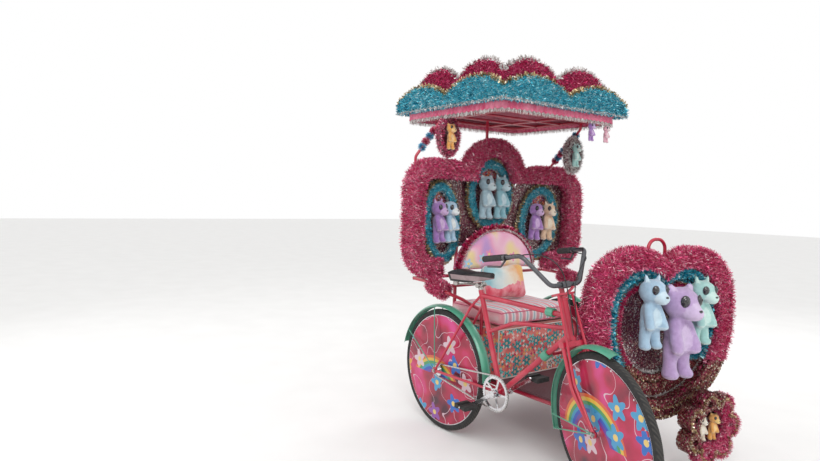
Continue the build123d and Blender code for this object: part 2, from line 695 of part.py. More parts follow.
# The plane of the front board: x across it to the left, y up from its middle, z forward
def heart_plane():
    turn = math.radians(HEART_TURN)
    return Plane(origin=(HEART_X, HEART_Y, HEART_MID_Z), x_dir=(math.sin(turn), math.cos(turn), 0),
                 z_dir=(math.cos(turn), -math.sin(turn), 0))


HEART = heart_plane()


def behind_heart(across, up, step):
    """A point a step behind the front board's back."""
    point = HEART.from_local_coords((across, up, -step))
    return (point.X, point.Y, point.Z)


# Side car chassis
NEAR_Y = MID_Y - BASE_HALF
FAR_Y = MID_Y + BASE_HALF
POST_Y = 240.0
POST_R = BASE_R * 0.85
POST_X = BACK_X - POST_R - RUN_GAP
POST_TOP_Z = 1560.0
CROSS_TUBES_X = (BOX_REAR_X + 25, BOX_FRONT_X - 12, 560.0)
RAIL_Z = 800.0
BACK_BAR_Z = 868.0
ARM_Y = 578.0
ARM_KNEE_X = -110.0
ARM_END = (70.0, 822.0)
ARM_R = 10.0
ROLL_R = 44.0


def base_ring():
    """The side car's base: a closed ring of tube with cross tubes and two short feet for the seat posts."""
    low = BASE_Z - HEART_MID_Z
    ring = [(BASE_REAR_X, NEAR_Y, BASE_Z), (BASE_FRONT_X - 90, NEAR_Y, BASE_Z),
            behind_heart(-HEART_HOLD_U - 40, low, RING_STEP), behind_heart(HEART_HOLD_U + 60, low, RING_STEP),
            (BASE_REAR_X, FAR_Y, BASE_Z)]
    path = FilletPolyline(*ring, radius=45, close=True)
    pieces = [sweep(Plane(path @ 0, z_dir=path % 0) * Circle(BASE_R), path=path)]
    for x in CROSS_TUBES_X:
        pieces.append(rod([(x, NEAR_Y, BASE_Z), (x, FAR_Y, BASE_Z)], BASE_R * 0.85))
    for side in (-1, 1):
        y = MID_Y + side * POST_Y
        pieces.append(rod([(BASE_REAR_X, y, BASE_Z), (CROSS_TUBES_X[0], y, BASE_Z)], BASE_R * 0.7))
    return joined(pieces)


def seat_posts():
    """Two posts behind the seat back with the bars that the board and the arm rails lie on."""
    pieces = []
    for side in (-1, 1):
        y = MID_Y + side * POST_Y
        pieces.append(rod([(POST_X, y, BASE_Z), (POST_X, y, POST_TOP_Z)], POST_R))
    for z, reach in ((RAIL_Z, POST_Y + 40), (BACK_BAR_Z, ARM_Y)):
        pieces.append(rod([(POST_X, MID_Y - reach, z), (POST_X, MID_Y + reach, z)], BASE_R * 0.8))
    return joined(pieces)


def board_frame():
    """Uprights behind the heart board in clamp blocks, their cross bar, the grab loop and the flower's arms."""
    low = BASE_Z - HEART_MID_Z
    step = POST_R + RUN_GAP
    pieces = []
    for across in (-HEART_HOLD_U, HEART_HOLD_U):
        foot, head = behind_heart(across, low + 8, step), behind_heart(across, HEART_HOLD_V, step)
        pieces.append(rod([foot, head], POST_R))
        pieces.append(HEART * Pos(across, low, -RING_STEP) * Box(BLOCK_W, BLOCK_W, BLOCK_W))
        reach = across * 0.3 + FLOWER_SHIFT
        foot, head = behind_heart(reach, low, RING_STEP), behind_heart(reach, low, -FLOWER_STEP + RUN_GAP)
        pieces.append(rod([foot, head], BASE_R * 0.6))
    bar_v = HEART_HOLD_V - 20
    near, far = behind_heart(-HEART_HOLD_U, bar_v, step), behind_heart(HEART_HOLD_U, bar_v, step)
    pieces.append(rod([near, far], BASE_R * 0.8))
    near, far = LOOP_MID_U - LOOP_HALF, LOOP_MID_U + LOOP_HALF
    pieces.append(rod([behind_heart(near, bar_v, step), behind_heart(near, LOOP_TOP, step),
                       behind_heart(far, LOOP_TOP, step), behind_heart(far, bar_v, step)],
                      LOOP_R, LOOP_HALF * 0.95))
    return joined(pieces)


def wheel_carrier():
    """A loop of tube round the side wheel, and two struts inside it, that hold its axle plates."""
    inner = SIDE_Y - REAR_SPREAD - DROPOUT_T / 2
    outer = SIDE_Y + REAR_SPREAD + DROPOUT_T / 2
    front_x = SIDE_X + WHEEL_R + 45
    end_z = WHEEL_R - 6
    rear = [(BASE_REAR_X, FAR_Y - 60, BASE_Z), (BASE_REAR_X, inner, BASE_Z),
            (BASE_REAR_X, outer - 20, BASE_Z + 12), (BASE_REAR_X + 60, outer, BASE_Z + 22),
            (SIDE_X - PLATE_R + 3, outer, end_z)]
    front = [(front_x, FAR_Y, BASE_Z), (front_x, inner, BASE_Z), (front_x, outer - 20, BASE_Z + 12),
             (front_x - 60, outer, BASE_Z + 22), (SIDE_X + PLATE_R - 3, outer, end_z)]
    pieces = [rod(rear, BASE_R * 0.8, 24), rod(front, BASE_R * 0.8, 24)]
    for way in (-1, 1):
        pieces.append(rod([(SIDE_X + way * 70, FAR_Y, BASE_Z), (SIDE_X + way * 62, FAR_Y + 28, BASE_Z),
                           (SIDE_X + way * (PLATE_R - 3), inner, end_z)], BASE_R * 0.6, 20))
        pieces.append(Pos(SIDE_X, SIDE_Y, 0) * dropout(way, REAR_SPREAD, PLATE_R))
    return joined(pieces)


def tube_point(start, end, distance):
    """A point on a frame tube, measured from its start, and the tube's direction."""
    way = (Vector(*end) - Vector(*start)).normalized()
    return Vector(*start) + way * distance, way


CLAMP_WALL = 9.0
CLAMP_L = 42.0
TOP_CLAMP_BACK = 668.0
DOWN_CLAMP_BACK = 758.0
TOP_CLAMP = tube_point((CLUSTER_X, 0, CLUSTER_Z), head_point(TOP_TUBE_HEAD_Z),
                       WHEELBASE - TOP_CLAMP_BACK)
DOWN_CLAMP = tube_point((BRACKET_X, 0, BRACKET_Z), head_point(DOWN_TUBE_HEAD_Z),
                        WHEELBASE - DOWN_CLAMP_BACK)


def coupling_arms():
    """Arms from the side car to the bicycle: to the left dropout, and up to the clamps on the two front tubes."""
    post_y = NEAR_Y - 28
    top, down = TOP_CLAMP[0], DOWN_CLAMP[0]
    arm = BASE_R * 0.7
    arms = joined([
        rod([(top.X, NEAR_Y + 4, BASE_Z), (top.X, post_y, BASE_Z), (top.X, post_y, top.Z - 60),
             (top.X, TOP_TUBE_R + CLAMP_WALL - 3, top.Z)], arm, 60),
        rod([(top.X, post_y, down.Z + 20), (down.X, post_y * 0.7, down.Z),
             (down.X, DOWN_TUBE_R + CLAMP_WALL - 3, down.Z)], arm, 60),
        rod([(HITCH[0] - 30, NEAR_Y, BASE_Z), (HITCH[0] - 20, NEAR_Y - 40, BASE_Z), (HITCH[0], 130, HITCH[1]),
             (HITCH[0], REAR_SPREAD + DROPOUT_T + RUN_GAP, HITCH[1])], arm, 30)])
    for (point, way), bore in ((TOP_CLAMP, TOP_TUBE_R), (DOWN_CLAMP, DOWN_TUBE_R)):
        arms -= Plane(point, z_dir=way) * Cylinder(bore + CLAMP_WALL + RUN_GAP, CLAMP_L + 20)
    return arms


nodes["base_ring"] = base_ring()
nodes["seat_posts"] = seat_posts() - nodes["base_ring"]
nodes["board_frame"] = board_frame() - nodes["base_ring"]
nodes["wheel_carrier"] = wheel_carrier() - nodes["base_ring"]
nodes["coupling_arms"] = coupling_arms() - nodes["base_ring"]


def clamp_on(point, way, bore):
    """A clamp block round a frame tube."""
    plane = Plane(point, z_dir=way)
    return plane * Cylinder(bore + CLAMP_WALL, CLAMP_L) - plane * Cylinder(bore + 0.2, CLAMP_L * 2)


def coupler_clamps():
    return Compound([clamp_on(*TOP_CLAMP, TOP_TUBE_R), clamp_on(*DOWN_CLAMP, DOWN_TUBE_R)])


nodes["coupler_clamps"] = coupler_clamps()


# Seat box, floor and cushion
def seat_box():
    """A bench of five boards: lid, front, back and two sides, open towards the base tubes below."""
    mid_x, depth = (BOX_FRONT_X + BOX_REAR_X) / 2, BOX_FRONT_X - BOX_REAR_X
    wall_high = BOX_TOP_Z - BOX_T - RUN_GAP - BOX_BASE_Z
    wall_z = BOX_BASE_Z + wall_high / 2
    boards = [Pos(mid_x, MID_Y, BOX_TOP_Z - BOX_T / 2) * Box(depth, BOX_HALF * 2, BOX_T)]
    for x in (BOX_REAR_X + BOX_T / 2, BOX_FRONT_X - BOX_T / 2):
        boards.append(Pos(x, MID_Y, wall_z) * Box(BOX_T, BOX_HALF * 2, wall_high))
    for side in (-1, 1):
        boards.append(Pos(mid_x, MID_Y + side * (BOX_HALF - BOX_T / 2), wall_z) * Box(
            depth - 2 * (BOX_T + RUN_GAP), BOX_T, wall_high))
    return Compound(boards)


def floor_board():
    """The foot well's floor, with its front corner cut back beside the front wheel."""
    z = BASE_Z + BASE_R + RUN_GAP
    edge = 14
    near, far = behind_heart(-HEART_HOLD_U - 40, 0, 44), behind_heart(HEART_HOLD_U + 60, 0, 44)
    outline = Polyline((BOX_REAR_X, NEAR_Y - edge), (BASE_FRONT_X - 100, NEAR_Y - edge), near[:2], far[:2],
                       (far[0], FAR_Y + edge), (BOX_REAR_X, FAR_Y + edge), close=True)
    return Pos(0, 0, z) * extrude(make_face(outline), amount=FLOOR_T)


def cushion_block(length, width, height, edge):
    block = Box(length, width, height)
    return fillet(block.edges(), edge)


def seat_cushion():
    depth = BOX_FRONT_X - BOX_REAR_X + SEAT_OVERHANG
    place = Pos((BOX_FRONT_X + BOX_REAR_X + SEAT_OVERHANG) / 2, MID_Y, BOX_TOP_Z + RUN_GAP + SEAT_T / 2)
    return place * cushion_block(depth, BOX_HALF * 2, SEAT_T, 26)


nodes["seat_box"] = seat_box()
nodes["floor_board"] = floor_board()
nodes["seat_cushion"] = seat_cushion()

# Seat back
BACK = Plane(origin=(BACK_X, MID_Y, 0), x_dir=(0, 1, 0), z_dir=(1, 0, 0))


def wing_plane(side):
    """The plane of a wing. Its x runs along the wing towards the left, so a wing is drawn at side * distance."""
    turn = side * math.radians(WING_TURN)
    return Plane(origin=(BACK_X, MID_Y + side * HINGE_U, 0), x_dir=(math.sin(turn), math.cos(turn), 0),
                 z_dir=(math.cos(turn), -math.sin(turn), 0))


# A petal is its middle across and up, its half width and half height, and its lean outward in degrees
WING_PETAL = (190.0, 1215.0, 175.0, 262.0, 9.0)
MID_PETAL = (0.0, 1400.0, 205.0, 236.0, 0.0)


def petal(spec, grow, side):
    u, v, half_w, half_h, lean = spec
    return Pos(side * u, v) * Rot(0, 0, -side * lean) * Ellipse(half_w + grow, half_h + grow)


def wing_outline(grow, side):
    """A tall rounded panel, cut off straight at the hinge line."""
    panel = Pos(side * WING_HALF, WING_MID_Z) * RectangleRounded(
        2 * (WING_HALF + grow), 2 * (WING_HIGH / 2 + grow), WING_CORNER + grow)
    return panel & Pos(side * WING_HALF * 2, WING_MID_Z) * Rectangle(WING_HALF * 4, WING_HIGH * 2)


def middle_outline(grow):
    """The middle panel: straight sides under a round arch."""
    arch = Pos(0, ARCH_MID_Z) * Circle(ARCH_R + grow)
    foot_z = WING_MID_Z - WING_HIGH / 2 - grow
    body = Pos(0, (foot_z + ARCH_MID_Z) / 2) * Rectangle(2 * HINGE_U, ARCH_MID_Z - foot_z)
    whole = arch + body
    return whole & Pos(0, ARCH_MID_Z) * Rectangle(2 * HINGE_U, 4 * ARCH_R)


def seat_back(make):
    """One layer of the seat back: a piece on the middle plane, then one on each wing's plane."""
    return [make(BACK, 0), make(wing_plane(-1), -1), make(wing_plane(1), 1)]


def back_board():
    def panel(plane, side):
        outline = wing_outline(0, side) if side else middle_outline(0)
        return at(plane, outline, 0, BOARD_T)
    return joined(seat_back(panel))


def back_border():
    """The fat roll round the seat back's edge, over the arch of the middle panel and round both wings."""
    half = BORDER_W / 2

    def panel(plane, side):
        if side:
            ring = wing_outline(half, side) - wing_outline(-half, side)
            ring -= Pos(side * WING_HALF / 2, WING_MID_Z) * Rectangle(WING_HALF, WING_HIGH - BORDER_W)
            ring -= Pos(side * WING_HALF / 2, WING_MID_Z - WING_HIGH / 2) * Rectangle(WING_HALF, WING_HIGH)
            ring -= petal(WING_PETAL, 1 - BAND_INSET, side)
        else:
            ring = middle_outline(half) - middle_outline(-half)
            ring &= Pos(0, ARCH_MID_Z + ARCH_R) * Rectangle(2 * HINGE_U, 2 * ARCH_R)
            ring -= petal(MID_PETAL, 1 - BAND_INSET, 1)
        return at(plane, ring, BOARD_T + RUN_GAP, BORDER_T)
    return joined(seat_back(panel))


def back_bands():
    """An oval band for each petal."""
    def panel(plane, side):
        spec = WING_PETAL if side else MID_PETAL
        ring = petal(spec, -BAND_INSET, side or 1) - petal(spec, -BAND_INSET - BAND_W, side or 1)
        return at(plane, ring, BOARD_T + RUN_GAP, BAND_T)
    return Compound(seat_back(panel))


def back_cushion():
    """A half-oval pad in front of the petals."""
    middle, half_wide, half_high = BACK_PAD
    above = Pos(0, BACK_PAD_LEVEL + half_high) * Rectangle(3 * half_wide, 2 * half_high)
    arch = Pos(0, middle) * Ellipse(half_wide, half_high) & above
    return extrude(BACK.offset(BOARD_T + BAND_T + CUSHION_GAP) * arch, amount=CUSHION_T)


def pillow():
    return Pos(*PILLOW_AT) * Rot(0, -PILLOW_LEAN, 0) * cushion_block(*PILLOW_SIZE, 40)


nodes["back_board"] = back_board()
nodes["back_border"] = back_border()
nodes["back_bands"] = back_bands()
nodes["back_cushion"] = back_cushion()
nodes["pillow"] = pillow()


def arm_path(side):
    """From the bar behind the seat back, forward over the wheel, in and down to the seat box."""
    y, box_y = MID_Y + side * ARM_Y, MID_Y + side * (BOX_HALF + ARM_R + RUN_GAP)
    x, z = ARM_END
    return [(POST_X + BASE_R * 0.8 + RUN_GAP, y, BACK_BAR_Z), (ARM_KNEE_X, y, BACK_BAR_Z - 3), (x, y, z),
            (x + 30, y - side * 90, z - 40), (x + 40, box_y, z - 120), (x + 40, box_y, BOX_TOP_Z - 60)]


def arm_rails():
    return Compound([rod(arm_path(side), ARM_R, 36) for side in (-1, 1)])


nodes["arm_rails"] = arm_rails()


# Front board
def heart(scale):
    """A full heart about the board's middle, made of two arcs on each side."""
    dip, lobe, wide, waist, tip = HEART_POINTS

    def put(point, flip=1):
        return (flip * point[0] * scale, point[1] * scale)

    edges = None
    for flip in (1, -1):
        upper = ThreePointArc(put(dip, flip), put(lobe, flip), put(wide, flip))
        lower = ThreePointArc(put(wide, flip), put(waist, flip), put(tip, flip))
        edges = upper + lower if edges is None else edges + upper + lower
    return make_face(edges)


def heart_ring(outer, inner):
    return heart(outer) - heart(inner)


nodes["heart_board"] = at(HEART, heart(0.96), 0, BOARD_T)
nodes["heart_border"] = at(HEART, heart_ring(1.0, 0.78), BOARD_T + RUN_GAP, BORDER_T)
nodes["heart_bands"] = Compound([at(HEART, heart_ring(0.76, 0.62), BOARD_T + RUN_GAP, BAND_T),
                                 at(HEART, heart_ring(0.60, 0.52), BOARD_T + RUN_GAP, BAND_T)])


# The small ornament in front of the heart's foot: a flower of round lobes on its own stand-off
FLOWER = HEART.offset(FLOWER_STEP)
FLOWER_MID = (FLOWER_SHIFT, -475.0)
FLOWER_R = 140.0
LOBE_R = 62.0
LOBES = 7


def flower(grow):
    """A disc with round lobes."""
    outline = Circle(FLOWER_R + grow)
    for i in range(LOBES):
        outline += Rot(0, 0, 360 * i / LOBES) * Pos(FLOWER_R - 10, 0) * Circle(LOBE_R + grow)
    return Pos(*FLOWER_MID) * outline


def flower_board():
    return at(FLOWER, flower(-20), 0, BOARD_T)


def flower_border():
    return at(FLOWER, flower(0) - flower(-46), BOARD_T + RUN_GAP, BORDER_T * 0.7)


nodes["flower_board"] = flower_board()
nodes["flower_border"] = flower_border()


# Plush animals, drawn standing on x with y up and z out of the board
def toy(height):
    """A plain soft animal: round head and ears, a barrel body, two arms and two hanging legs."""
    head_r, body_r = 0.165 * height, 0.135 * height
    depth = head_r
    head = Pos(0, 0.80 * height, depth) * Sphere(head_r)
    profile = ThreePointArc((0, 0.28 * height), (body_r, 0.46 * height), (0, 0.70 * height))
    body = revolve(make_face(profile + Line((0, 0.70 * height), (0, 0.28 * height))), axis=Axis.Y)
    pieces = [head, Pos(0, 0, depth) * body]
    for side in (-1, 1):
        pieces.append(Pos(side * 0.11 * height, 0.93 * height, depth) * Sphere(0.06 * height))
        pieces.append(barrel((side * 0.09 * height, 0.62 * height, depth),
                             (side * 0.175 * height, 0.40 * height, depth), 0.045 * height))
        pieces.append(barrel((side * 0.06 * height, 0.36 * height, depth),
                             (side * 0.085 * height, 0.0, depth), 0.058 * height))
    return joined(pieces)


def toys(rows):
    """Toys from a table: plane, distance in front of it, across, up of the feet, height, lean in degrees."""
    return Compound([plane.offset(step) * (Pos(u, v, 0) * Rot(0, 0, lean) * toy(height))
                     for plane, step, u, v, height, lean in rows])


nodes["heart_plush"] = toys([
    (HEART, 46.6, -120, -75, 375, 0),
    (HEART, 32.6, 60, -235, 500, 0),
    (HEART, 46.6, 206, -78, 360, 0),
])
nodes["flower_plush"] = toys([
    (FLOWER, BOARD_T + RUN_GAP, FLOWER_MID[0] - 40, FLOWER_MID[1] - 68, 132, 4),
    (FLOWER, BOARD_T + RUN_GAP, FLOWER_MID[0] + 38, FLOWER_MID[1] - 72, 136, -4),
])
nodes["back_plush"] = toys([
    (wing_plane(-1), BOARD_T + 5.7, -243, 1090, 275, 4),
    (wing_plane(-1), BOARD_T + 4.5, -137, 1090, 275, 4),
    (BACK, BOARD_T + 2.5, -65, 1235, 300, 0),
    (BACK, BOARD_T + 2.5, 65, 1235, 300, 0),
    (wing_plane(1), BOARD_T + 4.5, 137, 1090, 275, -4),
    (wing_plane(1), BOARD_T + 5.7, 243, 1090, 275, -4),
])


# Arm rolls round the arm rails
def arm_rolls():
    rolls = []
    for side in (-1, 1):
        knee, end = arm_path(side)[1:3]
        knee, end = Vector(*knee), Vector(*end)
        way = (end - knee).normalized()
        rolls.append(barrel(knee + way * 38, end - way * 18, ROLL_R))
    return Compound(rolls) - nodes["arm_rails"]


nodes["arm_rolls"] = arm_rolls()


# Canopy
def roof_face(share, inset=0.0):
    half_x, half_y = ROOF_HALF_X * share - inset, ROOF_HALF_Y * share - inset
    return RectangleRounded(2 * half_x, 2 * half_y, ROOF_CORNER * share)


def canopy_roof():
    """A shallow hipped sheet roof, hollow below."""
    outside = loft([Pos(0, 0, 0) * roof_face(1.0), Pos(0, 0, ROOF_RISE) * roof_face(ROOF_TOP_SHARE)])
    inside = loft([Pos(0, 0, -ROOF_T) * roof_face(1.0, ROOF_T),
                   Pos(0, 0, ROOF_RISE - ROOF_T) * roof_face(ROOF_TOP_SHARE, ROOF_T)])
    lip = extrude(roof_face(1.0) - roof_face(1.0, ROOF_LIP), amount=ROOF_T / 2)
    return Pos(ROOF_X, ROOF_Y, ROOF_Z) * (outside - inside + lip)


def scallop_strip(length, low, high, count):
    """A strip with a scalloped top edge, its foot on the x axis, centred."""
    pitch = length / count
    edges = Line((-length / 2, 0), (length / 2, 0)) + Line((length / 2, 0), (length / 2, low))
    for i in range(count):
        right = length / 2 - i * pitch
        edges += ThreePointArc((right, low), (right - pitch / 2, high), (right - pitch, low))
    edges += Line((-length / 2, low), (-length / 2, 0))
    return make_face(edges)


def tier(inset, foot_z, low, high):
    """A scalloped band standing round the roof."""
    half_x, half_y = ROOF_HALF_X - inset, ROOF_HALF_Y - inset
    strips = []
    for side in (-1, 1):
        along_x = Plane(origin=(0, side * half_y, 0), x_dir=(1, 0, 0), z_dir=(0, -1, 0))
        along_y = Plane(origin=(side * half_x, 0, 0), x_dir=(0, 1, 0), z_dir=(1, 0, 0))
        long_strip = scallop_strip(2 * half_x, low, high, SCALLOPS)
        cross_strip = scallop_strip(2 * half_y, low, high, SCALLOPS)
        strips.append(extrude(along_x * long_strip, amount=side * TIER_T))
        strips.append(extrude(along_y * cross_strip, amount=-side * TIER_T))
    return Pos(ROOF_X, ROOF_Y, foot_z) * joined(strips)


def strut_path(foot_y, side, head_x):
    """Up behind a wing of the seat back, in under the roof, and straight up to the rim tube."""
    away = abs(foot_y - MID_Y) - HINGE_U
    lean = math.radians(WING_TURN)
    foot_x = BACK_X + away * math.tan(lean) - (STRUT_R + RUN_GAP) / math.cos(lean)
    head_y = ROOF_Y + side * (ROOF_HALF_Y - RIM_INSET)
    return [(foot_x, foot_y, STRUT_FOOT_Z), (foot_x, foot_y, STRUT_BEND_Z), (head_x, head_y, STRUT_TOP_Z),
            (head_x, head_y, ROOF_Z - FRAME_R - RUN_GAP)]


def canopy_frame():
    """Rim tube and cross ribs under the roof."""
    z = ROOF_Z - FRAME_R - RUN_GAP
    half_x, half_y = ROOF_HALF_X - RIM_INSET, ROOF_HALF_Y - RIM_INSET
    corners = [(ROOF_X - half_x, ROOF_Y - half_y, z), (ROOF_X + half_x, ROOF_Y - half_y, z),
               (ROOF_X + half_x, ROOF_Y + half_y, z), (ROOF_X - half_x, ROOF_Y + half_y, z)]
    path = FilletPolyline(*corners, radius=60, close=True)
    pieces = [sweep(Plane(path @ 0, z_dir=path % 0) * Circle(FRAME_R), path=path)]
    for x in (POST_X, ROOF_X, ROOF_X + half_x / 2):
        pieces.append(rod([(x, ROOF_Y - half_y, z), (x, ROOF_Y + half_y, z)], FRAME_R * 0.8))
    for y in (ROOF_Y - half_y / 2, ROOF_Y + half_y / 2):
        pieces.append(rod([(ROOF_X - half_x, y, z), (ROOF_X + half_x, y, z)], FRAME_R * 0.8))
    return joined(pieces)


def canopy_struts():
    """The middle pole behind the seat back and the two side struts."""
    pole_foot_z = BACK_BAR_Z + BASE_R * 0.8 + RUN_GAP
    pole = rod([(POST_X, MID_Y, pole_foot_z), (POST_X, MID_Y, ROOF_Z - FRAME_R)], FRAME_R * 0.9)
    struts = [rod(strut_path(*strut), STRUT_R, 40) for strut in STRUTS]
    return Compound([pole] + struts) - nodes["canopy_frame"]


def strut_garlands():
    """A fat sleeve of pompoms round the sloping run of each strut."""
    sleeves = []
    for strut in STRUTS:
        knee, head = (Vector(*point) for point in strut_path(*strut)[1:3])
        way = (head - knee).normalized()
        start, end = knee + way * GARLAND_FROM, head - way * GARLAND_TO
        sleeves.append(barrel(start, end, GARLAND_R) - barrel(start - way * 9, end + way * 9, STRUT_R + 0.2))
    return Compound(sleeves)


def plaque_plane(x, y, z):
    return Plane(origin=(x, y, z), x_dir=(0, 1, 0), z_dir=(1, 0, 0))


def strut_plaques():
    """An oval board with a raised edge for each strut."""
    plaques = []
    for spot in PLAQUES:
        oval = Ellipse(PLAQUE_HALF_W, PLAQUE_HALF_H)
        middle = Ellipse(PLAQUE_HALF_W - PLAQUE_EDGE, PLAQUE_HALF_H - PLAQUE_EDGE)
        plane = plaque_plane(*spot)
        plaques.append(at(plane, oval, 0, BOARD_T) + at(plane, oval - middle, 0, BAND_T))
    return Compound(plaques)


def canopy_valance():
    """A short curtain hanging inside the rim."""
    outer = roof_face(1.0, VALANCE_INSET)
    inner = roof_face(1.0, VALANCE_INSET + VALANCE_T)
    return Pos(ROOF_X, ROOF_Y, ROOF_Z - RUN_GAP - VALANCE_H) * extrude(outer - inner, amount=VALANCE_H)


nodes["canopy_roof"] = canopy_roof()
nodes["canopy_tier_low"] = tier(-TIER_T - RUN_GAP, ROOF_Z, 55, 135)
HIGH_FOOT = ROOF_RISE * (HIGH_INSET + TIER_T) / ((1 - ROOF_TOP_SHARE) * ROOF_HALF_X)
nodes["canopy_tier_high"] = tier(HIGH_INSET, ROOF_Z + HIGH_FOOT + RUN_GAP, 110, 200)
nodes["canopy_frame"] = canopy_frame()
nodes["canopy_struts"] = canopy_struts()
nodes["canopy_valance"] = canopy_valance()
nodes["strut_garlands"] = strut_garlands()
nodes["strut_plaques"] = strut_plaques()
nodes["plaque_plush"] = toys([(plaque_plane(*spot), BOARD_T + RUN_GAP, 0, -80, 164, 0) for spot in PLAQUES])

# Origin under the middle of the whole
os.makedirs("parts", exist_ok=True)
everything = Compound([Compound(shape.solids()) for shape in nodes.values()])
box = everything.bounding_box()
SHIFT = Vector(-(box.min.X + box.max.X) / 2, -(box.min.Y + box.max.Y) / 2, -box.min.Z)
print("shift", tuple(SHIFT), "size", tuple(box.size))
for name, shape in nodes.items():
    solids = [solid.moved(Location(SHIFT)) for solid in shape.solids()]
    export_step(solids[0] if len(solids) == 1 else Compound(solids), f"parts/{name}.step")
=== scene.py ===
import json
import math
import bmesh
import bpy
import numpy as np
from mathutils import Matrix, Vector
from mathutils.bvhtree import BVHTree


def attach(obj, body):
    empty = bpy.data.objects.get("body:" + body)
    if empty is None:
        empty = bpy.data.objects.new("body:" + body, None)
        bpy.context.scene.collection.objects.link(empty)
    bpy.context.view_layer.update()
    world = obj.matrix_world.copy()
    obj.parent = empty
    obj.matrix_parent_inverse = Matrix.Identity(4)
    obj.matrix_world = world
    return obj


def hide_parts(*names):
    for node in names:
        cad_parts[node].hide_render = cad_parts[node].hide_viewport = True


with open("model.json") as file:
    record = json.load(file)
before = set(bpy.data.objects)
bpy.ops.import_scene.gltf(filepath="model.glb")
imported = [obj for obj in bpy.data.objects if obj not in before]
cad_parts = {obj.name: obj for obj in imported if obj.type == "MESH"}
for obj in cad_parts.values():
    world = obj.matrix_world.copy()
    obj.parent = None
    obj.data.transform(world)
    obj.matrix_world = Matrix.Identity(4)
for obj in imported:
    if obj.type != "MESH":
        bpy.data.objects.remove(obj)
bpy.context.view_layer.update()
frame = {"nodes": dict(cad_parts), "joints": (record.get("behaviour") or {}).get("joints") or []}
JOINTS = {joint["name"]: joint for joint in frame["joints"]}
SCENE = bpy.context.scene

# From the bicycle's own millimetres to the frame of the part in metres
SHIFT = Vector((-0.483183766551043, -0.53, 0.0000889617090072991))


def at(x, y, z):
    """A point of the bicycle's frame, in millimetres, as a point of the part's frame in metres."""
    return Vector((x, y, z)) / 1000 + SHIFT


# Finishes
class Value:
    """What a shader socket carries. Sums and comparisons of it become nodes."""

    def __init__(self, tree, socket):
        self.tree = tree
        self.socket = socket

    def work(self, operation, *others):
        return reckon(self.tree, operation, self, *others)

    def __add__(self, other):
        return self.work("ADD", other)

    def __sub__(self, other):
        return self.work("SUBTRACT", other)

    def __rsub__(self, other):
        return reckon(self.tree, "SUBTRACT", other, self)

    def __mul__(self, other):
        return self.work("MULTIPLY", other)

    def __pow__(self, other):
        return self.work("POWER", other)

    def __gt__(self, other):
        return self.work("GREATER_THAN", other)

    def __lt__(self, other):
        return self.work("LESS_THAN", other)


def feed(tree, value, socket):
    """Gives a socket another node's value, a colour or plain numbers."""
    if isinstance(value, Value):
        tree.links.new(value.socket, socket)
    elif socket.type == "RGBA":
        socket.default_value = (*value, 1.0)
    else:
        socket.default_value = value


def reckon(tree, operation, *values):
    """A number worked out from values and plain numbers."""
    node = tree.nodes.new("ShaderNodeMath")
    node.operation = operation
    for value, socket in zip(values, node.inputs):
        feed(tree, value, socket)
    return Value(tree, node.outputs["Value"])


